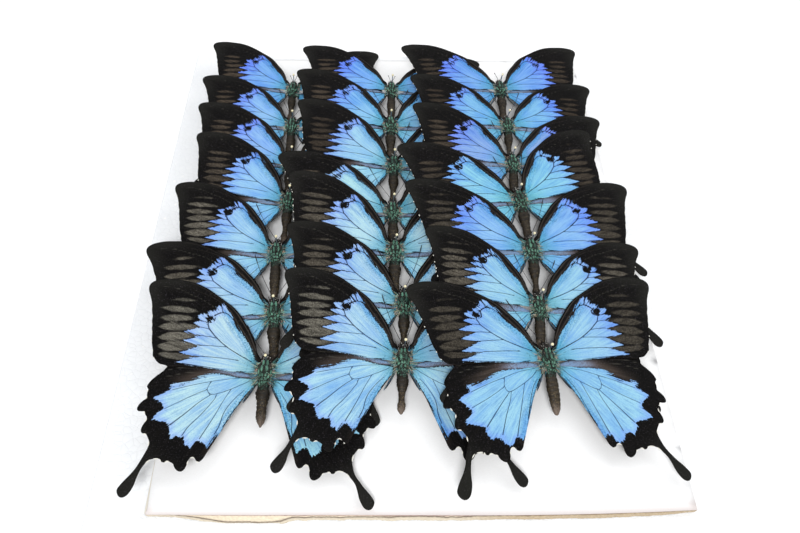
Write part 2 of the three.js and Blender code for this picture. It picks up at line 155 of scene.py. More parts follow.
HIND_BLUE = [
    [(4.2, -3.2), (12.3, -2.6), (14.5, -2.1), (18.2, -1.8), (20.9, -1.7), (23.2, -2.4), (25.5, -3.5), (27.3, -4.6), (29.1, -5.8),
     (31.4, -6.7), (34.1, -7.1), (35.9, -7.3), (36.4, -8.3), (36.6, -9.4), (39.1, -11.2), (41.8, -13.2), (40.2, -14), (38.4, -15.1),
     (37.7, -16.2), (37.3, -17.1), (38, -18), (39.3, -19.4), (40.7, -21.5), (39.1, -21.8), (36.4, -22.5), (34.3, -23.2), (33.2, -23.3),
     (33.7, -24.9), (33, -26.9), (31.8, -29), (30.5, -28), (28.9, -28.8), (27.5, -27.8), (27, -29.6), (26.4, -31.5), (25, -31.7),
     (24.3, -33), (23.2, -31), (22.5, -29.9), (21.1, -29.5), (20, -30.1), (18.2, -31.8), (17, -29.9), (15.7, -27.4), (14.2, -25.0),
     (12.3, -20.8), (10.5, -16.7), (8.2, -12.4), (6, -8.5), (4.5, -6.5)],
]
HIND_BLUE_C = [
    [(4.2, -3.0), (9, -3.0), (12.9, -3.5), (17, -3.6), (20.9, -4.1), (24, -5.2), (26.3, -6.7), (28, -7.9), (29.7, -9.1), (31.2, -9.5),
     (32.9, -9.8), (34.6, -9.4), (36.6, -9.8), (35.7, -11), (35.7, -12.2), (38, -13.6), (40.5, -15.5), (39, -17), (37.2, -18.6), (36, -20.7),
     (37.4, -22.6), (39.7, -25.1), (38, -25.6), (36.3, -26.2), (33.8, -26.6), (31.5, -27.7), (31.9, -29), (31.5, -30.2), (30, -32.6),
     (28.4, -31.6), (26.6, -32.2), (25.7, -31.4), (25.9, -32.6), (25.6, -34), (23.6, -35.4), (21.8, -34.7), (20.9, -32.8), (18.9, -32.2),
     (17.8, -33.6), (16.7, -32.4), (15.5, -28.6), (14.0, -25.0), (12.2, -20.8), (10.4, -16.7), (8.1, -12.4), (5.9, -8.5), (4.5, -6.5)],
]
# front border of the blue, for the dusted band beyond it
HIND_TOP = [(4, -2.7), (14, -1.7), (20, -1.7), (24, -2.9), (27, -4.7), (32, -7.0), (38, -7.6), (42, -12)]
HIND_TOP_C = [(4, -2.9), (13, -3.4), (21, -4.1), (26, -6.5), (33, -9.8), (38, -10.5), (42, -14)]
HIND_VEINS = [
    ([(5.6, -2.7), (10.6, -2.9), (15.3, -3.7), (21.2, -5), (28.1, -6.9), (35.5, -9.2)], .08, .12),
    ([(5.6, -3.6), (7.4, -4.8), (12.5, -7.7), (16.5, -9.6), (20, -10.5), (22, -8.6), (21.2, -5.1)], .13, .11),
    ([(22, -8.6), (25.9, -10.6), (33, -14.9), (37, -17.4)], .10, .12),
    ([(20, -10.5), (24.3, -14.2), (28.9, -19.2), (32, -22.3), (33.4, -23.8)], .10, .26),
    ([(17.8, -10.2), (18.7, -12.9), (22.5, -19.1), (26.5, -24.4), (28.2, -28)], .09, .20),
    ([(12.7, -8), (15, -13.2), (17.7, -20.4), (21.4, -29)], .09, .20),
    ([(7.4, -8.0), (10, -11), (12.7, -15.1), (14.1, -18.7), (14.8, -23.3), (16.1, -26.9)], .10, .20),
]
HIND_VEINS_C = [
    ([(5.6, -3.2), (9.1, -3.8), (14, -4.7), (20.2, -6.8), (27, -9.1), (35.4, -12.4)], .08, .12),
    ([(5.6, -4.2), (8.7, -7.3), (14.4, -11), (19.4, -13.3), (21, -10.9), (20.6, -8.2), (20.2, -6.8)], .14, .10),
    ([(21, -10.9), (25, -13.4), (29.2, -15.8), (35.9, -19.1)], .09, .12),
    ([(19.4, -13.3), (24.5, -19.2), (31.3, -27.4)], .10, .24),
    ([(18.6, -13), (19.8, -17), (22.7, -23.4), (25.7, -31)], .09, .20),
    ([(12.2, -9.8), (15, -17.9), (18, -26.5), (19.9, -32)], .09, .20),
    ([(6.4, -8.2), (9.1, -12), (12, -19.3), (14.9, -28)], .10, .18),
]
HIND_RIDGES = [
    [(35.9, -9.6), (40, -10), (44.9, -10)], [(35.5, -17.4), (41, -17.6), (46.8, -17.6)], [(30, -13.5), (37, -14.2), (44.5, -13.6)],
    [(33.4, -23.8), (36, -28), (38, -33), (40.6, -38.5), (43, -44), (45.6, -49.6)], [(28.3, -28.3), (29.6, -33), (30.2, -38)],
    [(22, -28.7), (24.4, -35), (26.1, -41)], [(32, -22), (38, -25), (43.4, -26.6)],
    [(12, -1.0), (22, 0.2), (32, -.6), (39.5, -3.4), (43, -6)], [(16.1, -26.9), (17.4, -31), (19.3, -36.4)],
]
HIND_LINES = [[(24.5, -1), (32, -1.7), (39.5, -3.8)], [(27, .8), (34, .6), (39, -.6)]]
HIND_FRINGE = [(45.15, -10.3, 1.6), (44.9, -13.1, 1.4), (44.3, -19.3, 2.4), (43.0, -22.2, 2.2), (42.2, -27.9, 2.2), (40.0, -31.6, 2.8), (38.9, -38.4, 2.2), (35.9, -37.2, 2.6),
               (34.1, -37.9, 1.2), (31.7, -38.0, 2.2), (29.3, -39.0, 1.4), (24.1, -38.4, 1.6), (22.6, -36.2, 2.6), (20.6, -37.9, 1.2)]


def lin(r, g, b):
    """sRGB 0-255 to linear."""
    c = np.array([r, g, b], float) / 255
    return np.where(c <= .04045, c / 12.92, ((c + .055) / 1.055) ** 2.4)


def rgba(r, g, b):
    return (*lin(r, g, b), 1.0)


# ---------------------------------------------------------------- plane curves
def evenly(p, step, closed):
    if closed:
        p = np.vstack([p, p[:1]])
    s = np.r_[0, np.cumsum(np.linalg.norm(np.diff(p, axis=0), axis=1))]
    m = max(2, int(round(s[-1] / step)))
    u = np.linspace(0, s[-1], m + 1)
    q = np.stack([np.interp(u, s, p[:, k]) for k in range(p.shape[1])], 1)
    return q[:-1] if closed else q


def catmull(p, fine=8):
    p = np.asarray(p, float)
    c = np.vstack([2 * p[0] - p[1], p, 2 * p[-1] - p[-2]])
    t = np.linspace(0, 1, fine + 1)[:-1][:, None]
    out = []
    for i in range(len(p) - 1):
        a, b, d, e = c[i:i + 4]
        out.append(.5 * (2 * b + (d - a) * t + (2 * a - 5 * b + 4 * d - e) * t ** 2 + (-a + 3 * b - 3 * d + e) * t ** 3))
    return np.vstack(out + [p[-1:]])


def curve(p, step):
    return evenly(catmull(p), step, False)


def loop(p, step, sharp=68):
    """A closed smooth line that keeps its sharp corners."""
    p = np.asarray(p, float)
    n = len(p)
    a, b = p - np.roll(p, 1, 0), np.roll(p, -1, 0) - p
    turn = np.degrees(np.abs(np.arctan2(a[:, 0] * b[:, 1] - a[:, 1] * b[:, 0], (a * b).sum(1))))
    corners = [i for i in range(n) if turn[i] > sharp]
    if not corners:
        q = catmull(np.vstack([p[-2:], p, p[:2]]))
        return evenly(q[16:16 + 8 * n], step, True)
    out = []
    for k, i in enumerate(corners):
        j = corners[(k + 1) % len(corners)]
        idx = list(range(i, j + 1)) if j > i else list(range(i, n)) + list(range(0, j + 1))
        run = p[idx]
        out.append(curve(run, step)[:-1] if len(run) > 2 else evenly(run, step, False)[:-1])
    return np.vstack(out)


def dist(P, line, closed=False):
    """Distance of each point to a line, and how far along it the nearest spot is."""
    a = line if closed else line[:-1]
    b = np.roll(line, -1, 0) if closed else line[1:]
    d = b - a
    L = (d ** 2).sum(1) + 1e-12
    t = np.clip(((P[:, None] - a) * d).sum(-1) / L, 0, 1)
    r = np.linalg.norm(P[:, None] - a - t[..., None] * d, axis=-1)
    k = r.argmin(1)
    return r[np.arange(len(P)), k], (k + t[np.arange(len(P)), k]) / len(a)


def inside(P, poly):
    c = np.zeros(len(P), bool)
    x, y = P[:, 0], P[:, 1]
    for (x1, y1), (x2, y2) in zip(poly, np.roll(poly, -1, 0)):
        if y1 != y2:
            c ^= ((y1 > y) != (y2 > y)) & (x < (x2 - x1) * (y - y1) / (y2 - y1) + x1)
    return c


def smooth(x, a, b):
    t = np.clip((x - a) / (b - a), 0, 1)
    return t * t * (3 - 2 * t)


def triangulate(rim, lines, grid, keep, extra=None):
    """Triangles inside rim, whose edges follow the lines."""
    pts, edges = [rim], []
    n = len(rim)
    for line, closed in lines:
        ok = inside(line, rim) & (dist(line, rim, True)[0] > .28)
        idx = np.full(len(line), -1)
        idx[ok] = n + np.arange(ok.sum())
        pts.append(line[ok])
        m = len(line)
        for i in range(m if closed else m - 1):
            j = (i + 1) % m
            if idx[i] >= 0 and idx[j] >= 0:
                edges.append((int(idx[i]), int(idx[j])))
        n += int(ok.sum())
    lo, hi = rim.min(0), rim.max(0)
    xs, ys = np.arange(lo[0], hi[0], grid), np.arange(lo[1], hi[1], grid * .866)
    gx, gy = np.meshgrid(xs, ys)
    gx[1::2] += grid / 2
    G = np.stack([gx.ravel(), gy.ravel()], 1)
    G = G[inside(G, rim)]
    G = G[dist(G, rim, True)[0] > keep]
    for line, closed in lines:
        G = G[dist(G, line, closed)[0] > keep]
    allp = np.vstack(pts + [G] + ([] if extra is None else [extra]))
    v, e, f, _, _, _ = delaunay_2d_cdt([Vector(map(float, q)) for q in allp], edges, [list(range(len(rim)))], 1, 1e-4, True)
    V = np.array([(q[0], q[1]) for q in v])
    T = np.array([t for t in f if len(t) == 3], int)
    a = V[T]
    area = (a[:, 1, 0] - a[:, 0, 0]) * (a[:, 2, 1] - a[:, 0, 1]) - (a[:, 1, 1] - a[:, 0, 1]) * (a[:, 2, 0] - a[:, 0, 0])
    T[area < 0] = T[area < 0][:, ::-1]
    T = T[np.abs(area) > 1e-7]
    c = V[T].mean(1)
    return V, T[inside(c, rim)]


def camber(x, y):
    """Shared gentle arch of fore and hind wings."""
    u = np.clip(np.abs(x) / 50, 0, 1.2)
    return .32 * (1 - np.cos(2 * np.pi * np.clip(u, 0, 1))) / 2 - .22 * u ** 2


def master_wing(outline, blue, spot, veins, ridges, streaks, lines, fine_veins=1.0, creases=(), coarse=1.0):
    rim = loop(outline, .8 * coarse)
    blues = [loop(b, .7 * coarse) for b in blue]
    vein_lines = [(curve(p, .8 * coarse), w0 * fine_veins, w1 * fine_veins) for p, w0, w1 in veins]
    ridge_lines = [curve(p, 1.0) for p in ridges]
    cons = [(b, True) for b in blues] + [(v[0], False) for v in vein_lines] + [(curve(p, .9 * coarse), False) for p in creases]
    if spot:
        cons.append((loop(spot, .5 * coarse), True))
    grid, keep = 1.12 * coarse, .5 * coarse
    V, T = triangulate(rim, cons, grid, keep)
    # a triangle that touches lines with all its corners gets a point in its middle
    near = np.full(len(V), 1e9)
    mid = V[T].mean(1)
    far = np.full(len(T), 1e9)
    for line, closed in cons:
        near = np.minimum(near, dist(V, line, closed)[0])
        far = np.minimum(far, dist(mid, line, closed)[0])
    V, T = triangulate(rim, cons, grid, keep, mid[(near[T] < .02).all(1) & (far > .13)])
    cen = V[T].mean(1)
    member = np.zeros(len(T), bool)
    for b in blues:
        member |= inside(cen, b)
    if spot:
        member &= ~inside(cen, cons[-1][0])
    d_blue = np.full(len(V), 1e9)
    for b in blues:
        d_blue = np.minimum(d_blue, dist(V, b, True)[0])
    # a point well inside the union of patches isn't near its edge, whatever patch border is close
    vein = np.full(len(V), 1e9)
    relief = np.full(len(V), 1e9)
    for line, w0, w1 in vein_lines:
        d, t = dist(V, line)
        vein = np.minimum(vein, d / (w0 + (w1 - w0) * t))
        relief = np.minimum(relief, d)
    for line in ridge_lines:
        relief = np.minimum(relief, dist(V, line)[0])
    grey = np.full(len(V), -3.0)
    for p, k in streaks:
        q = loop(p, .6, 80)
        d = dist(V, q, True)[0]
        grey = np.maximum(grey, np.where(inside(V, q), d * k, -d))
    fine = np.full(len(V), 9.0)
    for p in lines:
        fine = np.minimum(fine, dist(V, curve(p, 1.0))[0])
    edge = dist(V, rim, True)[0]
    return dict(V=V, T=T, member=member, d_blue=np.minimum(d_blue, 4), vein=np.minimum(vein, 12), relief=relief, grey=grey, fine=fine,
                edge=edge, rim=loop(outline, .12), tris=len(T))


def shell(w):
    """Top and underside of a master wing and the rim between them."""
    V, T = w["V"], w["T"]
    n = len(V)
    e = np.vstack([T[:, [0, 1]], T[:, [1, 2]], T[:, [2, 0]]])
    key = {(int(a), int(b)) for a, b in e}
    border = np.array([(a, b) for a, b in key if (b, a) not in key], int)
    border = border[np.lexsort((border[:, 1], border[:, 0]))]
    a, b = border[:, 0], border[:, 1]
    rimT = np.vstack([np.stack([a, a + n, b], 1), np.stack([b, a + n, b + n], 1)])
    F = np.vstack([T, T[:, ::-1] + n, rimT])
    kind = np.r_[np.zeros(len(T)), np.ones(len(T)), np.full(len(rimT), 2)]
    sgn = np.where(w["member"], 1.0, -1.0)
    member = np.r_[sgn, sgn, np.full(len(rimT), -1.0)]
    return F, kind, member


def wings(coarse):
    """A forewing and the two hindwing patterns, at one fineness of mesh."""
    fore = master_wing(FORE, FORE_BLUE, FORE_SPOT, FORE_VEINS, FORE_RIDGES, FORE_STREAKS, FORE_LINES, .92, (FORE_COSTA, FORE_COSTA_2), coarse)
    fore["costa"] = np.minimum(dist(fore["V"], curve(FORE_COSTA, .8))[0], dist(fore["V"], curve(FORE_COSTA_2, .8))[0] + .06)
    fore["speck"] = .7 * np.exp(-(np.hypot(fore["V"][:, 0] - 24.6, fore["V"][:, 1] - 28.2) / 3.6) ** 2)
    fore["lilac"] = np.zeros(len(fore["V"]))
    fore["brown"] = np.zeros(len(fore["V"]))
    fore["side"] = dist(fore["V"], curve(FORE_BLUE[0][1:11], .8))[0]
    hinds = []
    for patch, veins, front in ((HIND_BLUE, HIND_VEINS, HIND_TOP), (HIND_BLUE_C, HIND_VEINS_C, HIND_TOP_C)):
        w = master_wing(HIND, patch, None, veins, HIND_RIDGES, [], HIND_LINES, .8, (), coarse)
        x, y = w["V"][:, 0], w["V"][:, 1]
        rise = y - np.interp(x, *zip(*front))
        band = smooth(rise, -.1, .7)
        w["lilac"] = band * (1 - smooth(x, 9, 27)) * (1 - .5 * smooth(rise, 1.5, 4.5))
        w["brown"] = band * smooth(x, 11, 19) * (1 - smooth(x, 27, 40)) * np.exp(-((rise - 2.2) / 2.6) ** 2)
        w["speck"] = np.exp(-(rise / 1.5) ** 2) * smooth(x, 9, 17) * (1 - smooth(x, 35, 40))
        w["costa"] = np.full(len(x), 9.0)
        w["side"] = dist(w["V"], curve([(4.3, -6.9), (5.5, -8.7), (7.7, -12.6), (10, -16.9), (11.8, -21), (13.6, -25.1), (15.2, -28.7), (17.7, -34.4)], .8))[0]
        hinds.append(w)
    for w in (fore, *hinds):
        w["F"], w["kind"], w["sgn"] = shell(w)
    return fore, hinds


# the back rows stand farther off and lie mostly hidden, so their mesh is coarser
NEAR, FAR = wings(1.0), wings(1.45)
FILL = {"1": .5, "2": .52, "3": .56, "4": .62, "5": .8, "6": .9, "7": 1.0}


def swing(P, hinge, size, turn):
    a = math.radians(turn)
    R = np.array([[math.cos(a), -math.sin(a)], [math.sin(a), math.cos(a)]])
    return hinge + (P - hinge) * size @ R.T


def tail_bend(P, bend):
    """Swings the tail about its root and stretches it, more towards its tip."""
    deg, long = bend
    if not deg and long == 1:
        return P
    root = np.array([39.4, -35.5])
    w = smooth(np.linalg.norm(P - root, axis=1), 1.0, 7.0) * ((P[:, 1] < -36.5) & (P[:, 0] > 38.2))
    a = np.radians(deg) * w
    d = (P - root) * (1 + (long - 1) * w)[:, None]
    return root + np.stack([d[:, 0] * np.cos(a) - d[:, 1] * np.sin(a), d[:, 0] * np.sin(a) + d[:, 1] * np.cos(a)], 1)


def rotation(turn):
    def rx(a):
        c, s = math.cos(math.radians(a)), math.sin(math.radians(a))
        return np.array([[1, 0, 0], [0, c, -s], [0, s, c]])

    def ry(a):
        c, s = math.cos(math.radians(a)), math.sin(math.radians(a))
        return np.array([[c, 0, s], [0, 1, 0], [-s, 0, c]])

    def rz(a):
        c, s = math.cos(math.radians(a)), math.sin(math.radians(a))
        return np.array([[c, -s, 0], [s, c, 0], [0, 0, 1]])

    return ry(RIGHT_DOWN) @ rx(NOSE_UP) @ rz(turn)


# ---------------------------------------------------------------- mesh parts
class Parts:
    """Collects closed pieces of one object: vertices, triangles, material, shading and point attributes."""

    FLOATS = ("vein", "grey", "fine", "edge", "costa", "lilac", "brown", "gk", "side", "root", "under", "dblue", "tip", "speck", "vio", "warm")

    def __init__(self):
        self.v, self.f, self.m, self.s, self.member = [], [], [], [], []
        self.fl = {k: [] for k in self.FLOATS}
        self.mc, self.pol, self.col = [], [], []
        self.n = 0

    def add(self, V, F, mat, smooth_faces=True, member=None, floats=None, mc=None, pol=None, col=None):
        k, m = len(V), len(F)
        self.v.append(V)
        self.f.append(F + self.n)
        self.m.append(np.full(m, mat) if np.isscalar(mat) else mat)
        self.s.append(np.full(m, smooth_faces) if np.isscalar(smooth_faces) else smooth_faces)
        self.member.append(np.zeros(m) if member is None else member)
        for name in self.FLOATS:
            self.fl[name].append(np.zeros(k) if floats is None else floats[name])
        self.mc.append(np.zeros((k, 3)) if mc is None else mc)
        self.pol.append(np.zeros((k, 3)) if pol is None else pol)
        self.col.append(np.zeros((k, 4)) if col is None else col)
        self.n += k

    def build(self, name, mats, wings=True):
        V, F = np.vstack(self.v) * .001, np.vstack(self.f).astype(np.int32)
        me = bpy.data.meshes.new(name)
        me.vertices.add(len(V))
        me.vertices.foreach_set("co", V.astype(np.float32).ravel())
        me.loops.add(len(F) * 3)
        me.loops.foreach_set("vertex_index", F.ravel())
        me.polygons.add(len(F))
        me.polygons.foreach_set("loop_start", np.arange(0, len(F) * 3, 3, dtype=np.int32))
        me.polygons.foreach_set("material_index", np.concatenate(self.m).astype(np.int32))
        me.polygons.foreach_set("use_smooth", np.concatenate(self.s).astype(bool))
        for m in mats:
            me.materials.append(m)
        me.update(calc_edges=True)
        if wings:
            for k, parts in self.fl.items():
                me.attributes.new(k, "FLOAT", "POINT").data.foreach_set("value", np.concatenate(parts).astype(np.float32))
            for k, parts in (("mc", self.mc), ("pol", self.pol)):
                me.attributes.new(k, "FLOAT_VECTOR", "POINT").data.foreach_set("vector", np.vstack(parts).astype(np.float32).ravel())
            me.attributes.new("member", "FLOAT", "CORNER").data.foreach_set("value", np.repeat(np.concatenate(self.member), 3).astype(np.float32))
        me.attributes.new("col", "FLOAT_COLOR", "POINT").data.foreach_set("color", np.vstack(self.col).astype(np.float32).ravel())
        bad = me.validate(verbose=False)
        if bad:
            print("mesh", name, "was mended")
        ob = bpy.data.objects.new(name, me)
        bpy.context.scene.collection.objects.link(ob)
        return ob


def tube(path, radii, sides=5):
    """A closed tube along a path."""
    path, radii = np.asarray(path, float), np.asarray(radii, float)
    n = len(path)
    t = np.gradient(path, axis=0)
    t /= np.linalg.norm(t, axis=1)[:, None]
    up = np.array([0, 0, 1.0]) if abs(t[0, 2]) < .9 else np.array([1.0, 0, 0])
    a = np.cross(t, up)
    a /= np.linalg.norm(a, axis=1)[:, None]
    b = np.cross(a, t)
    th = np.arange(sides) / sides * 2 * np.pi
    V = (path[:, None] + radii[:, None, None] * (np.cos(th)[None, :, None] * a[:, None] + np.sin(th)[None, :, None] * b[:, None])).reshape(-1, 3)
    V = np.vstack([V, path[:1], path[-1:]])
    F = []
    for i in range(n - 1):
        for k in range(sides):
            p, q = i * sides + k, i * sides + (k + 1) % sides
            F += [(p, p + sides, q), (q, p + sides, q + sides)]
    c0, c1, last = n * sides, n * sides + 1, (n - 1) * sides
    for k in range(sides):
        F += [(c0, k, (k + 1) % sides), (c1, last + (k + 1) % sides, last + k)]
    F = np.array(F)
    v = V[F]
    if np.einsum("ij,ij->i", v[:, 0], np.cross(v[:, 1], v[:, 2])).sum() < 0:
        F = F[:, ::-1]
    return V, F


def rings(centres, rx, rz, sides, wobble=None):
    """A closed skin over elliptical rings along Y."""
    n = len(centres)
    th = (np.arange(sides) + .5) / sides * 2 * np.pi
    k = np.ones((n, sides)) if wobble is None else wobble
    V = np.stack([centres[:, :1] + rx[:, None] * np.cos(th) * k, np.repeat(centres[:, 1:2], sides, 1), centres[:, 2:] + rz[:, None] * np.sin(th) * k], -1).reshape(-1, 3)
    V = np.vstack([V, centres[:1], centres[-1:]])
    i = np.arange(n - 1)[:, None] * sides
    j = np.arange(sides)[None]
    p, q = (i + j).ravel(), (i + (j + 1) % sides).ravel()
    F = np.vstack([np.stack([p, p + sides, q], 1), np.stack([q, p + sides, q + sides], 1)])
    j = np.arange(sides)
    last = (n - 1) * sides
    F = np.vstack([F, np.stack([np.full(sides, n * sides), j, (j + 1) % sides], 1), np.stack([np.full(sides, n * sides + 1), last + (j + 1) % sides, last + j], 1)])
    v = V[F] - V.mean(0)
    if np.einsum("ij,ij->i", v[:, 0], np.cross(v[:, 1], v[:, 2])).sum() < 0:
        F = F[:, ::-1]
    return V, F, np.tile(th, n)


def ball(c, r, nu=12, nv=8, squash=(1, 1, 1)):
    v = np.linspace(0, np.pi, nv + 1)[1:-1]
    u = np.arange(nu) / nu * 2 * np.pi
    V = np.stack([np.sin(v)[:, None] * np.cos(u), np.sin(v)[:, None] * np.sin(u), np.repeat(np.cos(v)[:, None], nu, 1)], -1).reshape(-1, 3)
    V = np.vstack([V, [0, 0, 1], [0, 0, -1]])
    F = []
    for i in range(nv - 2):
        for k in range(nu):
            p, q = i * nu + k, i * nu + (k + 1) % nu
            F += [(p, p + nu, q), (q, p + nu, q + nu)]
    t, b, last = (nv - 1) * nu, (nv - 1) * nu + 1, (nv - 2) * nu
    for k in range(nu):
        F += [(t, k, (k + 1) % nu), (b, last + (k + 1) % nu, last + k)]
    return V * np.array(squash) * r + np.asarray(c), np.array(F)


def strands(base, direction, normal, length, width, thick, lift, colour, long=False):
    """Closed tapering blades of scale or hair."""
    d = direction / np.linalg.norm(direction, axis=1)[:, None]
    side = np.cross(d, normal)
    side /= np.linalg.norm(side, axis=1)[:, None] + 1e-9
    up = np.cross(side, d)
    L, W, K, H = (np.broadcast_to(np.asarray(q, float), (len(base),))[:, None] for q in (length, width, thick, lift))
    tip = base + d * L + up * H
    if not long:
        mid = base + d * L * .45 + up * (H * .3 + K)
        V = np.stack([base, mid - side * W / 2, mid + side * W / 2, tip, mid - up * K * 1.6], 1)
        Q = np.array([(0, 1, 2), (3, 2, 1), (0, 4, 1), (0, 2, 4), (3, 1, 4), (3, 4, 2)])
    else:
        m1 = base + d * L * .5 + up * H * .62
        V = np.stack([base - side * W / 2, base + side * W / 2, base + up * K, m1 - side * W * .4, m1 + side * W * .4, m1 + up * K * .8, tip], 1)
        Q = np.array([(0, 2, 1), (0, 1, 4), (0, 4, 3), (1, 2, 5), (1, 5, 4), (2, 0, 3), (2, 3, 5), (3, 4, 6), (4, 5, 6), (5, 3, 6)])
    n, k = V.shape[:2]
    F = Q[None] + (np.arange(n) * k)[:, None, None]
    P = V.reshape(-1, 3)
    c = V.mean(1)[:, None, None]
    t = P[F] - c
    vol = np.einsum("nfi,nfi->n", t[:, :, 0], np.cross(t[:, :, 1], t[:, :, 2]))
    F[vol < 0] = F[vol < 0][:, :, ::-1]
    return P, F.reshape(-1, 3), np.repeat(colour, k, 0)


# ---------------------------------------------------------------- materials
class Tree:
    def __init__(self, name):
        self.mat = bpy.data.materials.new(name)
        self.mat.use_nodes = True
        self.t = self.mat.node_tree
        self.t.nodes.clear()
        self.out = self.t.nodes.new("ShaderNodeOutputMaterial")
        self.bsdf = self.t.nodes.new("ShaderNodeBsdfPrincipled")
        self.t.links.new(self.bsdf.outputs[0], self.out.inputs[0])

    def put(self, socket, value):
        if isinstance(value, bpy.types.NodeSocket):
            self.t.links.new(value, socket)
        else:
            socket.default_value = value

    def math(self, op, a, b=0.0, clamp=False):
        n = self.t.nodes.new("ShaderNodeMath")
        n.operation, n.use_clamp = op, clamp
        self.put(n.inputs[0], a)
        self.put(n.inputs[1], b)
        return n.outputs[0]

    def attr(self, name, out="Fac"):
        n = self.t.nodes.new("ShaderNodeAttribute")
        n.attribute_name = name
        return n.outputs[out]

    def step(self, x, a, b, lo=0.0, hi=1.0):
        n = self.t.nodes.new("ShaderNodeMapRange")
        n.interpolation_type = "SMOOTHSTEP"
        self.put(n.inputs["Value"], x)
        for k, v in (("From Min", a), ("From Max", b), ("To Min", lo), ("To Max", hi)):
            self.put(n.inputs[k], v)
        return n.outputs["Result"]

    def noise(self, vec, scale, detail=2.0, rough=.5, out="Fac"):
        n = self.t.nodes.new("ShaderNodeTexNoise")
        self.put(n.inputs["Vector"], vec)
        n.inputs["Scale"].default_value = scale
        n.inputs["Detail"].default_value = detail
        n.inputs["Roughness"].default_value = rough
        return n.outputs[out]

    def voronoi(self, vec, scale, feature="F1", out="Distance", random=1.0):
        n = self.t.nodes.new("ShaderNodeTexVoronoi")
        n.feature = feature
        self.put(n.inputs["Vector"], vec)
        n.inputs["Scale"].default_value = scale
        n.inputs["Randomness"].default_value = random
        return n.outputs[out]

    def mix(self, f, a, b, blend="MIX"):
        n = self.t.nodes.new("ShaderNodeMix")
        n.data_type, n.blend_type = "RGBA", blend
        self.put(n.inputs[0], f)
        self.put(n.inputs[6], a)
        self.put(n.inputs[7], b)
        return n.outputs[2]

    def scale(self, vec, s):
        n = self.t.nodes.new("ShaderNodeVectorMath")
        n.operation = "MULTIPLY"
        self.put(n.inputs[0], vec)
        n.inputs[1].default_value = s
        return n.outputs[0]

    def coords(self, out="Object"):
        return self.t.nodes.new("ShaderNodeTexCoord").outputs[out]

    def bump(self, height, strength, distance):
        n = self.t.nodes.new("ShaderNodeBump")
        n.inputs["Strength"].default_value = strength
        n.inputs["Distance"].default_value = distance
        self.put(n.inputs["Height"], height)
        self.t.links.new(n.outputs[0], self.bsdf.inputs["Normal"])

    def set(self, **k):
        for name, v in k.items():
            self.put(self.bsdf.inputs[name.replace("_", " ")], v)
        return self.mat


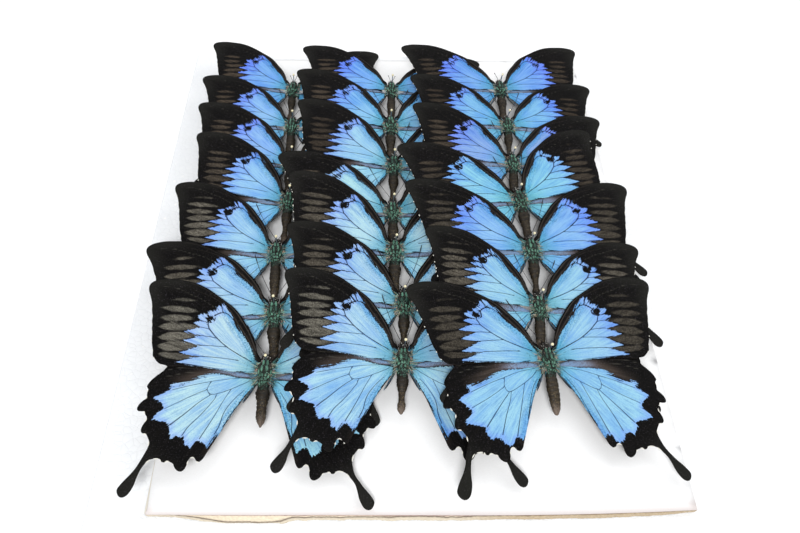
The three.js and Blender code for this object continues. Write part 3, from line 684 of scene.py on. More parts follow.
def wing_material():
    t = Tree("wing_scales")
    mc, pol = t.attr("mc", "Vector"), t.attr("pol", "Vector")
    tint = t.attr("col", "Color")
    member, dblue = t.attr("member"), t.attr("dblue")
    grain = t.noise(mc, 2.1, 2, .65)
    broad = t.noise(mc, .075, 2, .5)
    ray = t.noise(pol, 1.0, 3, .55)
    ray2 = t.noise(pol, 2.6, 2, .5)

    root = t.attr("root")
    # blue patch: scales stray a little over its border, more so at the front and inner sides
    stray = t.math("ADD", t.math("MULTIPLY", t.math("SUBTRACT", grain, .5), .9), t.math("MULTIPLY", t.math("SUBTRACT", t.noise(mc, 1.5, 2, .6), .5), .9))
    signed = t.math("SUBTRACT", t.math("MULTIPLY", member, t.math("ADD", dblue, .22)), t.attr("tip"))
    teeth = t.math("MULTIPLY", t.math("SUBTRACT", t.noise(pol, 2.3, 2, .7), .5), t.step(root, 14.0, 24.0, .4, 3.4))
    stray = t.math("ADD", stray, teeth)
    stray = t.math("MULTIPLY", stray, t.math("ADD", t.step(t.attr("side"), .3, 2.6, 2.0, 1.0), t.math("MULTIPLY", t.attr("speck"), 1.9)))
    blue = t.step(t.math("ADD", signed, stray), -.44, -.18)

    light = t.mix(1.0, tint, rgba(255, 255, 255), "MULTIPLY")
    deep = t.mix(1.0, tint, rgba(172, 202, 250), "MULTIPLY")
    tone = t.math("ADD", t.math("MULTIPLY", t.math("SUBTRACT", broad, .45), 1.3), t.math("MULTIPLY", t.math("SUBTRACT", ray, .5), 1.9))
    c = t.mix(t.math("ADD", tone, .25, True), light, deep)
    c = t.mix(t.math("MULTIPLY", t.step(t.noise(mc, 2.3, 2, .6), .46, .68), .42), c, t.mix(1.0, c, rgba(176, 198, 232), "MULTIPLY"))
    stray_dark = t.math("MULTIPLY", t.step(t.attr("side"), .2, 4.2, .75, 0.0), t.step(t.noise(mc, 1.7, 2, .7), .50, .60))
    c = t.mix(stray_dark, c, rgba(26, 60, 92))
    # violet towards the outer end, deeper at the very border; its strength by row is painted sheen
    violet = t.math("MULTIPLY", t.step(root, 17.0, 36.0), t.attr("vio"))
    c = t.mix(t.math("MULTIPLY", violet, t.step(dblue, .1, 2.4, .52, .05)), c, rgba(96, 112, 236))
    # turquoise along the leading and inner sides and towards the root
    c = t.mix(t.math("MULTIPLY", t.step(t.attr("side"), .1, 3.6, 1.0, 0.0), t.step(ray, .3, .7, .22, .52)), c, rgba(52, 150, 198))
    c = t.mix(t.math("MULTIPLY", t.step(root, 2.0, 15.0, 1.0, 0.0), .5), c, rgba(58, 158, 176))
    c = t.mix(t.math("MULTIPLY", t.step(root, 3.0, 12.0, 1.0, 0.0), t.step(ray2, .48, .66, 0.0, .6)), c, rgba(30, 84, 92))
    # fine dark rays between the veins
    c = t.mix(t.math("MULTIPLY", t.step(ray2, .50, .70), t.step(root, 9.0, 24.0, .14, .46)), c, t.mix(1.0, c, rgba(132, 164, 214), "MULTIPLY"))
    vein = t.step(t.math("ADD", t.attr("vein"), t.math("MULTIPLY", t.math("SUBTRACT", grain, .5), .5)), .8, 1.8, 1.0, 0.0)
    c = t.mix(t.math("MULTIPLY", vein, .86), c, rgba(16, 34, 66))

    # velvety dark part
    d = t.mix(t.math("MULTIPLY", t.step(ray2, .35, .75), .6), rgba(7, 7, 7), rgba(20, 18, 16))
    d = t.mix(t.math("MULTIPLY", t.step(t.attr("edge"), 0.0, 9.0, .7, 0.0), t.step(root, 44.0, 62.0)), d, rgba(36, 36, 33))
    g = t.math("ADD", t.attr("grey"), t.math("MULTIPLY", t.math("SUBTRACT", t.noise(mc, 2.2, 2, .6), .5), .5))
    g = t.math("ADD", g, t.math("MULTIPLY", t.math("SUBTRACT", t.noise(mc, .22, 2, .6), .5), 1.3))
    gm = t.math("MULTIPLY", t.step(g, -.20, .40), t.step(t.attr("grey"), 0.0, .9, .8, 1.0))
    gm = t.math("MULTIPLY", gm, t.step(t.noise(pol, 1.8, 2, .6), .28, .66, .50, 1.0))
    gm = t.math("MULTIPLY", gm, t.step(t.noise(t.scale(mc, (.22, .9, 1)), 1.0, 2, .6), .3, .62, .6, 1.05))
    gc = t.mix(t.step(t.noise(mc, 2.4, 2, .6), .35, .65), t.mix(t.attr("gk"), rgba(70, 62, 52), rgba(68, 65, 57)), t.mix(t.attr("gk"), rgba(124, 114, 98), rgba(130, 127, 117)))
    gc = t.mix(t.math("MULTIPLY", t.attr("warm"), .8), gc, t.mix(t.step(t.noise(mc, 2.4, 2, .6), .35, .65), rgba(60, 50, 42), rgba(104, 89, 73)))
    d = t.mix(t.math("MULTIPLY", gm, t.attr("gk")), d, gc)
    d = t.mix(t.math("MULTIPLY", t.step(t.attr("fine"), .10, .45, 1.0, 0.0), .34), d, rgba(92, 90, 82))
    d = t.mix(t.math("MULTIPLY", t.step(t.attr("costa"), .06, .34, 1.0, 0.0), t.step(root, 26.0, 42.0, .46, .12)), d, rgba(80, 74, 68))
    d = t.mix(t.math("MULTIPLY", t.step(t.attr("side"), 0.0, 3.0, .4, 0.0), t.step(ray, .3, .7, .3, 1.0)), d, rgba(50, 43, 38))
    d = t.mix(t.math("MULTIPLY", t.attr("brown"), t.step(ray, .25, .7, .30, .80)), d, rgba(76, 67, 61))

    # dusting of pale scales over brown beyond the patch's front border
    lilac = t.attr("lilac")
    dust = t.mix(t.step(t.math("SUBTRACT", grain, t.math("MULTIPLY", lilac, .16)), .34, .52, 1.0, 0.0), rgba(94, 88, 96), t.mix(lilac, rgba(130, 134, 146), rgba(118, 148, 184)))
    d = t.mix(t.math("MULTIPLY", t.step(t.math("ADD", lilac, t.math("MULTIPLY", t.math("SUBTRACT", grain, .5), 1.1)), .05, .55), .95), d, dust)

    c = t.mix(blue, d, c)
    # underside: brown with a greyer outer band and dark veins
    u = t.mix(t.step(t.attr("edge"), 2.0, 9.0), rgba(88, 80, 70), rgba(58, 44, 34))
    u = t.mix(t.math("MULTIPLY", t.step(ray2, .35, .7), .4), u, rgba(104, 90, 74))
    u = t.mix(t.math("MULTIPLY", vein, .6), u, rgba(26, 20, 16))
    c = t.mix(t.attr("under"), c, u)
    t.bump(t.math("ADD", grain, t.math("MULTIPLY", ray2, 1.6)), .22, .00012)
    t.bsdf.inputs["Specular IOR Level"].default_value = .05
    return t.set(Base_Color=c, Roughness=.6)


def tinted(name, rough, spec, grain_scale, amount, metallic=0.0):
    """A material that takes its colour from the mesh, broken up by noise."""
    t = Tree(name)
    n = t.noise(t.coords(), grain_scale, 3, .6)
    c = t.mix(t.step(n, .3, .7, amount, 0.0), t.attr("col", "Color"), t.mix(1.0, t.attr("col", "Color"), rgba(120, 116, 110), "MULTIPLY"))
    t.bump(n, .5, .0001)
    t.bsdf.inputs["Specular IOR Level"].default_value = spec
    t.bsdf.inputs["Metallic"].default_value = metallic
    return t.set(Base_Color=c, Roughness=rough)


def eye_material():
    t = Tree("eye")
    n = t.voronoi(t.coords(), 9000)
    c = t.mix(n, rgba(16, 12, 10), rgba(40, 30, 24))
    t.bump(n, .3, .00003)
    return t.set(Base_Color=c, Roughness=.18)


def bead_material():
    t = Tree("glass_bead")
    n = t.noise(t.coords(), 900, 2)
    c = t.mix(n, rgba(226, 214, 168), rgba(240, 232, 200))
    t.bsdf.inputs["Coat Weight"].default_value = .6
    t.bsdf.inputs["Coat Roughness"].default_value = .05
    return t.set(Base_Color=c, Roughness=.16)


def steel_material():
    t = Tree("pin_steel")
    n = t.noise(t.scale(t.coords(), (1, 1, .05)), 6000, 2)
    c = t.mix(n, rgba(128, 134, 148), rgba(176, 182, 194))
    t.bsdf.inputs["Metallic"].default_value = .85
    return t.set(Base_Color=c, Roughness=t.step(n, 0.0, 1.0, .22, .42))


def foam_material():
    """Expanded polystyrene: closed beads with fine seams, matt, with painted glints on a few beads."""
    t = Tree("white_foam")
    co = t.coords()
    cell = t.voronoi(co, 330, "DISTANCE_TO_EDGE")
    bead = t.voronoi(co, 330)
    small = t.voronoi(co, 900)
    seam = t.step(cell, .0, .10, 1.0, 0.0)
    n = t.noise(co, 60, 3)
    c = t.mix(t.math("MULTIPLY", n, .6), rgba(246, 248, 250), rgba(237, 241, 246))
    c = t.mix(t.math("MULTIPLY", seam, .07), c, rgba(214, 218, 228))
    # painted glints: a few bead cells are painted pure white as specular sparkle
    c = t.mix(t.math("MULTIPLY", t.step(t.voronoi(co, 520, "F1", "Color"), .84, .90), t.step(t.voronoi(co, 520), .45, .25)), c, rgba(255, 255, 255))
    h = t.math("SUBTRACT", t.math("MULTIPLY", t.math("SUBTRACT", 1.0, bead), 1.0), t.math("ADD", t.math("MULTIPLY", seam, .5), t.math("MULTIPLY", small, .12)))
    t.bump(h, .35, .0005)
    return t.set(Base_Color=c, Roughness=t.step(small, .2, .7, .38, .7))


def card_material():
    """White paper face, brown cut edges: the colour is on the mesh, with paper fibres over it."""
    t = Tree("white_faced_card")
    co = t.coords()
    fib = t.noise(t.scale(co, (1, 3, 3)), 1400, 3, .7)
    big = t.noise(co, 22, 2)
    c = t.attr("col", "Color")
    c = t.mix(t.math("MULTIPLY", t.step(fib, .35, .75), .10), c, t.mix(1.0, c, rgba(196, 190, 180), "MULTIPLY"))
    c = t.mix(t.math("MULTIPLY", big, .06), c, t.mix(1.0, c, rgba(206, 206, 212), "MULTIPLY"))
    t.bump(fib, .25, .0001)
    t.bsdf.inputs["Specular IOR Level"].default_value = .3
    return t.set(Base_Color=c, Roughness=.62)


WING, BODY, FUR, EYE = wing_material(), tinted("body_skin", .5, .25, 2600, .6), tinted("fur_and_scales", .42, .35, 5200, .25), eye_material()
BEAD, STEEL, FOAM, CARD = bead_material(), steel_material(), foam_material(), card_material()


# ---------------------------------------------------------------- butterflies
# blue of each specimen, with painted sheen: the front rows are pale sky blue and the back rows deeper, the wings'
# iridescent shift with the angle of view painted into the colour
TINT_AND_SHEEN = {
    "A1": (132, 182, 240), "A2": (146, 192, 241), "A3": (148, 190, 242), "A4": (153, 200, 240), "A5": (164, 206, 235), "A6": (168, 206, 232), "A7": (184, 215, 229),
    "B1": (130, 180, 241), "B2": (148, 201, 239), "B3": (167, 212, 236), "B4": (176, 221, 231), "B5": (178, 215, 232), "B6": (178, 212, 230), "B7": (172, 209, 230),
    "C1": (128, 176, 238), "C2": (132, 190, 234), "C3": (142, 176, 230), "C4": (146, 208, 231), "C5": (141, 188, 236), "C6": (157, 204, 229), "C7": (154, 200, 229),
}
# strength of the grey-brown streaks
GREY = {"A7": 1.0, "B7": .95, "C7": .42, "A5": .95, "A6": .8, "A4": .6, "B3": .45, "B5": .6, "B6": .62, "C1": .5, "C2": .45, "C3": .6, "C4": .48, "C5": .42, "C6": .75}
# violet of the outer ends, narrowing of the streaks and their warmth, by row; the violet growing towards the back rows
# is painted sheen, the iridescence seen at a lower angle
VIOLET_SHEEN = {"1": 1.3, "2": 1.1, "3": 1.1, "4": .8, "5": .9, "6": .7, "7": .6}
THIN = {"1": .42, "2": .4, "3": .34, "4": .3, "5": .1, "6": .1, "7": 0.0}
WARM = {"1": 1.0, "2": 1.0, "3": .9, "4": .7, "5": .2, "6": .2, "7": 0.0}
WHITE_GAIN = .95  # the white surroundings sit a little over full white, so colours are set a little under

STATIONS = [(8.7, .35, .3, -.5), (8.3, 1.1, 1.0, -.4), (7.5, 1.7, 1.5, -.3), (6.6, 1.8, 1.55, -.2), (5.7, 1.4, 1.25, -.1), (5.2, 1.5, 1.3, 0), (4.6, 2.1, 2.0, .1),
            (3.4, 2.8, 2.7, .2), (1.5, 3.15, 3.0, .2), (-1, 3.2, 3.0, .1), (-3.4, 2.9, 2.7, 0), (-5.4, 2.5, 2.3, -.2), (-6.8, 2.3, 1.9, -.5)]
ABDOMENS = [
    [(-8.2, 2.5, 2.0, -.8), (-10.2, 2.6, 2.15, -1.1), (-12.6, 2.1, 1.8, -1.7), (-15.2, 1.45, 1.3, -2.4), (-18.2, 1.3, 1.2, -3.0), (-20.4, 1.75, 1.35, -3.6), (-22.4, 1.6, 1.2, -4.1), (-24.0, .8, .6, -4.4), (-24.6, .2, .2, -4.5)],
    [(-8.2, 2.4, 1.9, -.8), (-11, 2.6, 1.95, -1.3), (-14, 2.55, 1.9, -1.9), (-17.5, 2.35, 1.75, -2.7), (-20.5, 2.05, 1.5, -3.4), (-22.8, 1.55, 1.15, -4.0), (-24.2, .9, .7, -4.4), (-24.7, .2, .2, -4.5)],
    [(-8.2, 2.9, 2.1, -.8), (-10.5, 2.8, 2.1, -1.2), (-13, 2.3, 1.8, -1.8), (-16, 2.0, 1.6, -2.5), (-19.5, 2.1, 1.6, -3.3), (-22, 1.6, 1.3, -4.0), (-24.6, .3, .3, -4.5)],
]
TEAL = [(76, 122, 104), (98, 150, 128), (50, 86, 74), (122, 174, 152), (32, 58, 50)]
MINT = [(142, 196, 172), (112, 166, 142), (156, 204, 188)]
DARK = [(20, 18, 15), (34, 30, 24), (48, 42, 34)]
CREAM = [(206, 196, 168), (176, 162, 132), (226, 214, 196), (150, 128, 112)]
BROWN = [(84, 72, 54), (62, 52, 40), (128, 110, 78), (46, 40, 32)]


def pick(rng, colours, n, gain=.85):
    c = np.array([lin(*q) for q in colours])[rng.integers(0, len(colours), n)] * rng.uniform(.75, 1.2, (n, 1)) * gain
    return np.c_[np.clip(c, 0, 1), np.ones(n)]


def wing_piece(parts, w, z0, hinge, size, turn, left, tail, tint, seed, xf, grey=1.0, back=0.0, thin=0.0, vio=1.0, warm=0.0):
    P = tail_bend(w["V"], tail)
    Q = swing(P, hinge, size, turn)
    x, y = Q[:, 0], Q[:, 1]
    rel = np.exp(-(w["relief"] / .32) ** 2) * .07 - .06 * smooth(w["relief"], .3, 2.6)
    rel *= smooth(w["edge"], 0, 1.2)
    z = z0 + camber(x, y)
    top = np.c_[x, y, z + SHELL / 2 + rel]
    low = np.c_[x, y, z - SHELL / 2 + rel * .8]
    V = np.vstack([top, low])
    F = w["F"]
    if left:
        V = V * np.array([-1, 1, 1])
        F = F[:, ::-1]
    n = len(P)
    r = np.hypot(w["V"][:, 0] - 3, w["V"][:, 1] - 1)
    th = np.degrees(np.arctan2(w["V"][:, 1] - 1, w["V"][:, 0] - 3 + 1e-6))
    two = lambda a: np.r_[a, a]
    fl = dict(vein=two(w["vein"]), grey=two(w["grey"] - thin), tip=two(back * smooth(r, 22, 31)), speck=two(w["speck"] * (1 + .8 * warm)), vio=np.full(2 * n, vio), warm=np.full(2 * n, warm), fine=two(w["fine"]), edge=two(w["edge"]), costa=two(w["costa"]), lilac=two(w["lilac"]), brown=two(w["brown"]), gk=np.full(2 * n, grey), side=two(w["side"]),
              root=two(r), under=np.r_[np.zeros(n), np.ones(n)], dblue=two(w["d_blue"]))
    mc = np.c_[two(w["V"][:, 0]), two(w["V"][:, 1]), np.full(2 * n, seed)]
    pol = np.c_[two(th) * .42, two(r) * .05, np.full(2 * n, seed * 1.7)]
    col = np.tile([*tint, 1.0], (2 * n, 1))
    parts.add(xf(V), F, 0, w["kind"] < 2, w["sgn"], fl, mc, pol, col)


def fringe_piece(parts, w, marks, z0, hinge, size, turn, left, tail, xf, rng):
    rim = w["rim"]
    s = np.r_[0, np.cumsum(np.linalg.norm(np.diff(rim, axis=0), axis=1))]
    for mx, my, length in marks:
        if rng.random() < .12:
            continue
        k = int(np.argmin(np.hypot(rim[:, 0] - mx, rim[:, 1] - my)))
        L = length * rng.uniform(.75, 1.1)
        sel = rim[np.abs(s - s[k]) < L / 2][::3]
        if len(sel) < 3:
            continue
        t = np.gradient(sel, axis=0)
        t /= np.linalg.norm(t, axis=1)[:, None]
        out = np.c_[-t[:, 1], t[:, 0]]
        if inside(sel[[len(sel) // 2]] + out[[len(sel) // 2]] * .3, rim)[0]:
            out = -out
        wgt = np.sin(np.linspace(.05, np.pi - .05, len(sel)))[:, None] ** .7
        a = swing(tail_bend(sel, tail) - out * .10 * wgt, hinge, size, turn)
        b = swing(tail_bend(sel, tail) + out * .33 * wgt, hinge, size, turn)
        za, zb = camber(a[:, 0], a[:, 1]) + z0, camber(b[:, 0], b[:, 1]) + z0
        V = np.stack([np.c_[a, za + .10], np.c_[b, zb + .07], np.c_[b, zb - .07], np.c_[a, za - .10]], 1).reshape(-1, 3)
        m = len(sel)
        F = []
        for i in range(m - 1):
            for j in range(4):
                p, q = i * 4 + j, i * 4 + (j + 1) % 4
                F += [(p, q, p + 4), (q, q + 4, p + 4)]
        e = (m - 1) * 4
        F += [(0, 2, 1), (0, 3, 2), (e, e + 1, e + 2), (e, e + 2, e + 3)]
        F = np.array(F)
        c = V[F] - V.mean(0)
        if np.einsum("ij,ij->i", c[:, 0], np.cross(c[:, 1], c[:, 2])).sum() < 0:
            F = F[:, ::-1]
        if left:
            V, F = V * np.array([-1, 1, 1]), F[:, ::-1]
        col = np.tile([*lin(240, 238, 228), 1.0], (len(V), 1)) * np.array([.92, .92, .92, 1])
        parts.add(xf(V), F, 2, False, col=col)


def body_piece(parts, size, abdomen, xf, rng, kind, name):
    fill = FILL[name[1]]
    st = [np.array(q, float) for q in STATIONS]
    for y, rx, rz, z in ABDOMENS[kind]:
        st.append(np.array([-6.8 + (y + 6.8) * abdomen, rx, rz, z * (.35 + .65 * abdomen)]))
    q = evenly(catmull(np.array(st), 6), .42, False)
    q[:, 1:3] = np.maximum(q[:, 1:3], .12)
    y, sides = q[:, 0], 22
    n = len(q)
    th = (np.arange(sides) + .5) / sides * 2 * np.pi
    ph = rng.uniform(0, 6, 6)
    seg = (-(y + 6.8) / (17.8 * abdomen) * 8)
    groove = np.where(y < -7.2, .13 * np.exp(-(((seg % 1) - .5) / .12) ** 2), 0)
    wob = 1 - groove[:, None] + .025 * np.sin(3 * th[None] + ph[0] + y[:, None] * .7) + .02 * np.sin(5 * th[None] - y[:, None] * 1.3 + ph[1]) + rng.normal(0, .02, (n, sides))
    # a dried dorsal crease on the abdomen
    wob -= np.where(y < -9, .05, 0)[:, None] * np.exp(-(((th[None] - np.pi / 2 - .25 * np.sin(ph[2])) / .28) ** 2))
    side = .25 * np.sin(ph[3]) * smooth(-y, 8, 24)
    V, F, _ = rings(np.c_[side, y, q[:, 3]] * size, q[:, 1] * size, q[:, 2] * size, sides, wob)
    TH = np.r_[np.tile(th, n), np.pi / 2, np.pi / 2]
    Y = np.r_[np.repeat(y, sides), y[0], y[-1]]
    top = np.clip(np.sin(TH), 0, 1)
    head = smooth(Y, 5.0, 5.8)
    abd = 1 - smooth(Y, -8.0, -6.6)
    tip = 1 - smooth(Y, y[-1] + .5, y[-1] + 5.5)
    nz = rng.uniform(.7, 1.25, len(V))[:, None]
    c = np.array(lin(26, 34, 30))[None] * (1 + top[:, None] * .8) * nz
    c = c * (1 - head[:, None]) + head[:, None] * lin(17, 15, 13) * nz
    ridge = np.r_[np.repeat(np.exp(-(((seg % 1) - .72) / .12) ** 2), sides), 0, 0][:, None]
    ab = (np.array(lin(50, 43, 33))[None] * (.75 + .5 * top[:, None]) + lin(96, 82, 58)[None] * ridge * .55 * top[:, None]) * nz
    ab = ab * (1 - .75 * tip[:, None]) + .75 * tip[:, None] * lin(132, 116, 104) * nz
    near, far = {"A7": (.35, .95), "B7": (.32, 1.1), "C7": (1.0, 1.25)}.get(name, (.6, 1.0))
    ab = ab * np.interp(-Y, [8, 13, 21], [near, near * .6 + far * .4, far])[:, None]
    c = c * (1 - abd[:, None]) + ab * abd[:, None]
    parts.add(xf(V), F, 1, True, col=np.c_[c * .85, np.ones(len(V))])
    for s in (-1, 1):
        E, G = ball(np.array([s * 1.35, 6.75, .1]) * size, .88 * size, 12, 8, (.85, 1, 1))
        parts.add(xf(E), G, 3, True, col=np.ones((len(E), 4)))

    def surface(yy, t, out=0.0):
        """Spots on the skin and their normals."""
        o = np.argsort(y)
        rx, rz, zc, sx = (np.interp(yy, y[o], a[o]) for a in (q[:, 1], q[:, 2], q[:, 3], side))
        p = np.c_[sx + rx * np.cos(t), yy, zc + rz * np.sin(t)] * size
        nn = np.c_[np.cos(t) / rx, np.zeros(len(t)), np.sin(t) / rz]
        nn /= np.linalg.norm(nn, axis=1)[:, None]
        return p + nn * out, nn

    def coat(count, y0, y1, t0, t1, colours, length, width, thick, lift, back, spread=.25, gain=.85, long=False):
        count, width = int(count * fill), width * fill ** -.4
        yy = rng.uniform(y0, y1, count)
        t = rng.uniform(t0, t1, count)
        p, nn = surface(yy, t, -.05)
        d = np.c_[rng.normal(0, spread, count), np.full(count, back, float), rng.normal(0, spread, count)] + nn * .12
        d -= nn * (d * nn).sum(1)[:, None] * .7
        S, G, C = strands(p, d, nn, rng.uniform(.7, 1.25, count) * length, rng.uniform(.75, 1.3, count) * width, thick, rng.uniform(.3, 1.4, count) * lift, pick(rng, colours, count, gain), long)
        parts.add(xf(S), G, 2, False, col=C)

    pi, up = np.pi, np.pi / 2
    # rounded lobes under the pile: a long pair in front, rows of short ones behind
    for yc, t0, ln, w, shades in ((3.3, .28, 1.25, .55, TEAL[:2]), (2.2, .72, 1.2, .5, DARK), (.7, .32, 1.15, .62, TEAL[:3]), (-.5, .84, 1.0, .5, MINT[1:2] + TEAL[:2]), (-2.0, .20, .6, .5, TEAL[:2] + MINT[1:2]),
                                  (-2.2, .64, .62, .5, MINT[1:2] + TEAL[:1]), (-3.6, .28, .6, .5, TEAL[:2]), (-3.7, .74, .7, .5, DARK + TEAL[2:3]), (-5.1, .18, .5, .45, TEAL[:2]), (-5.3, .62, .6, .45, TEAL[:3] + DARK[:1])):
        for s in (-1, 1):
            p, nn = surface(np.array([yc + rng.uniform(-.2, .2)]), np.array([up + s * (t0 + rng.uniform(-.06, .06))]), -.12)
            E, G = ball((0, 0, 0), 1.0, 10, 7, (w * .98 * size, ln * 1.2 * size, .34 * size))
            E = E + p[0] + nn[0] * .06
            base = np.array(lin(*shades[int(rng.integers(0, len(shades)))]))[None] * rng.uniform(.5, 1.6, (len(E), 1))
            parts.add(xf(E), G, 2, True, col=np.c_[np.clip(base * .72, 0, 1), np.ones(len(E))])
    # knobs at the wing roots
    for s in (-1, 1):
        for cx, cy, cz, ax, ay, az, shade in ((3.0, 2.6, .9, .9, 1.5, .5, (34, 28, 24)), (3.5, .8, .85, .75, 1.0, .42, (150, 122, 112)), (3.2, -1.2, .75, .85, 1.3, .42, (48, 84, 72)), (2.9, -3.4, .5, .8, 1.3, .45, (28, 26, 20)),
                                              (3.9, -.4, .8, .45, .6, .3, (118, 176, 150)), (3.4, -4.6, .4, .5, .7, .3, (116, 104, 86))):
            E, G = ball((0, 0, 0), 1.0, 9, 7, (ax * size, ay * size, az * size))
            E = E * rng.uniform(.9, 1.1, (len(E), 1)) + np.array([s * (cx + rng.uniform(-.25, .25)), cy + rng.uniform(-.4, .4), cz]) * size
            parts.add(xf(E), G, 2, True, col=np.c_[np.clip(np.array(lin(*shade))[None] * rng.uniform(.5, 1.5, (len(E), 1)), 0, 1), np.ones(len(E))])
        m = int(80 * fill)
        bx = rng.uniform(1.9, 4.2, m)
        base = np.c_[s * bx, rng.uniform(-5.6, 4.6, m), 1.95 - .28 * bx + rng.uniform(-.2, .2, m)] * size
        a = rng.normal(0, .75, m)
        d = np.c_[s * np.sin(np.abs(a)) * .9, -np.cos(a), np.zeros(m)]
        cols = DARK * 2 + CREAM + MINT + TEAL[:2] + [(190, 160, 152)]
        S, G, C = strands(base, d, np.tile([0, 0, 1.0], (m, 1)), rng.uniform(.9, 2.3, m) * size, rng.uniform(.14, .28, m), .05, rng.uniform(.05, .4, m), pick(rng, cols, m, .95), True)
        parts.add(xf(S), G, 2, False, col=C)
    # thorax: dark pile with metallic scales scattered through it
    coat(130, -6.2, 4.8, .03 * pi, .97 * pi, DARK + TEAL[2:3], .9, .20, .03, .16, -1)
    coat(40, -6.2, 4.8, up - .10, up + .10, DARK, .9, .22, .04, .34, -1, .25)
    for s in (-1, 1):
        coat(64, -.8, 4.5, up + s * .42 - .40, up + s * .42 + .40, TEAL + DARK, .95, .17, .035, .38, -1, .45, 1.1)
        coat(84, -5.8, -.6, up + s * .46 - .44, up + s * .46 + .44, TEAL + MINT + DARK, .8, .17, .035, .42, -1, .6, 1.1)
        coat(50, -5.5, 4.6, up + s * 1.0 - .35, up + s * 1.0 + .35, DARK + DARK + TEAL[:3] + CREAM[:2], 1.2, .16, .03, .4, -.8, .5, .8, True)
        coat(10, 1.6, 5.0, up + s * .9 - .3, up + s * .9 + .3, CREAM, 1.0, .2, .05, .45, -.4, .6, .9, True)
        coat(12, -6.0, -1.0, up + s * .7 - .25, up + s * .7 + .25, CREAM + MINT, 1.0, .16, .05, .45, -.6, .7, .9, True)
    coat(34, -7.6, -5.6, up - .7, up + .7, TEAL[:3] + DARK, .7, .28, .03, .14, -1, .3)
    # head: black pile with a few pale hairs, palps in front
    coat(120, 5.1, 8.2, .02 * pi, .98 * pi, DARK, .8, .14, .03, .5, .35, .6)
    coat(8, 5.0, 6.0, .15 * pi, .85 * pi, CREAM, .8, .14, .04, .5, -.5, .6, .8)
    for k in range(9):
        p, nn = surface(np.array([rng.uniform(5.3, 7.9)]), np.array([rng.uniform(.22, .78) * pi]), .22)
        E, G = ball(p[0], rng.uniform(.10, .19) * size, 6, 5)
        parts.add(xf(E), G, 2, True, col=np.tile([*lin(232, 230, 220), 1], (len(E), 1)))
    for s in (-1, 1):
        path = np.array([[s * .5, 7.9, -.4], [s * .7, 8.8, -.1], [s * .75, 9.3, .5]]) * size
        S, G = tube(catmull(path, 3), np.linspace(.34, .12, 7) * size, 5)
        parts.add(xf(S), G, 2, True, col=np.tile([*lin(30, 27, 22), 1], (len(S), 1)))
    # abdomen: close short scales
    coat(170, -13.5 * abdomen, -7.2, .04 * pi, .96 * pi, BROWN[1:2] + DARK * 2, .55, .28, .02, .05, -1, .3, .9 * (.5 + .5 * near))
    coat(170, -22.8 * abdomen, -12.5 * abdomen, .04 * pi, .96 * pi, BROWN + DARK[1:], .55, .28, .02, .05, -1, .3, .9)
    coat(60, -22.8 * abdomen, -7.2, .08 * pi, .92 * pi, [(140, 124, 92), (160, 146, 116), (104, 92, 62)], .36, .2, .03, .06, -1, .5, .7 * (.4 + .6 * near))
    coat(30, -24.0 * abdomen, -20.0 * abdomen, .1 * pi, .9 * pi, [(150, 134, 118), (112, 98, 84)], .7, .14, .02, .06, -1, .2, .9)
    # hairs from the thorax over the wing roots
    for s in (-1, 1):
        m = int(84 * fill)
        yy = rng.uniform(-5.2, 4.2, m)
        a = np.radians(rng.normal(0, 13, m) + yy * 10)
        base = np.c_[s * np.interp(yy, [-5.2, -2, 4.2], [1.9, 2.75, 2.3]), yy, rng.uniform(.85, 1.5, m)] * size
        d = np.c_[s * np.cos(a), np.sin(a), np.full(m, -.05)]
        nn = np.tile([0, 0, 1.0], (m, 1))
        cols = CREAM[:1] + [(110, 166, 156), (70, 140, 150), (84, 156, 186), (44, 94, 92), (30, 58, 60)]
        S, G, C = strands(base, d, nn, rng.uniform(2.0, 5.2, m) * size, .12, .07, rng.uniform(.02, .5, m), pick(rng, cols, m, 1.0), True)
        parts.add(xf(S), G, 2, False, col=C)
        # hair fringe down the inner edge of the hindwing
        m = int(40 * fill)
        u = rng.uniform(0, 1, m)
        base = np.c_[s * np.interp(u, [0, 1], [3.6, 7.4]), np.interp(u, [0, 1], [-6.2, -12.5]), np.full(m, .25)] * size
        d = np.c_[s * rng.uniform(.1, .5, m), -np.ones(m), np.zeros(m)]
        S, G, C = strands(base, d, np.tile([0, 0, 1.0], (m, 1)), rng.uniform(1.4, 2.8, m) * size, .09, .05, .05, pick(rng, [(60, 120, 160), (40, 80, 120), (120, 150, 150), (60, 54, 44)], m, .9), True)
        parts.add(xf(S), G, 2, False, col=C)
    # dark flaps beside the abdomen: the hindwings' folded inner margins, painted dark as the shade where the wings meet
    # the abdomen
    for s in (-1, 1):
        E, G = ball((0, 0, 0), 1.0, 14, 7, (.5 * size, 4.6 * size, .18 * size))
        a = -math.radians(28 + rng.uniform(-1, 1)) * s
        E = E @ np.array([[math.cos(a), -math.sin(a), 0], [math.sin(a), math.cos(a), 0], [0, 0, 1]])
        E = E + np.array([s * 5.25, -9.3, -.35]) * size
        parts.add(xf(E), G, 2, True, col=np.c_[np.clip(np.array(lin(30, 27, 26))[None] * rng.uniform(.5, 1.5, (len(E), 1)), 0, 1), np.ones(len(E))])
    # antennae
    for s in (-1, 1):
        spread, length = rng.uniform(22, 36), rng.uniform(20, 25)
        if name in ANTENNAE:
            spread, length = ANTENNAE[name][s > 0] + 3, ANTENNAE[name][2]
        t = np.linspace(0, 1, 15)
        a = np.radians(spread - 7 * t)
        path = np.c_[s * (.75 + length * t * np.sin(a)), 7.9 + length * t * np.cos(a), .7 + 1.9 * t - 1.0 * t ** 2 + .9] * size
        rad = np.interp(t, [0, .75, .86, .95, 1], [.13, .12, .24, .27, .12]) * size
        S, G = tube(path, rad, 6)
        parts.add(xf(S), G, 2, True, col=np.tile([*lin(24, 20, 17), 1], (len(S), 1)))
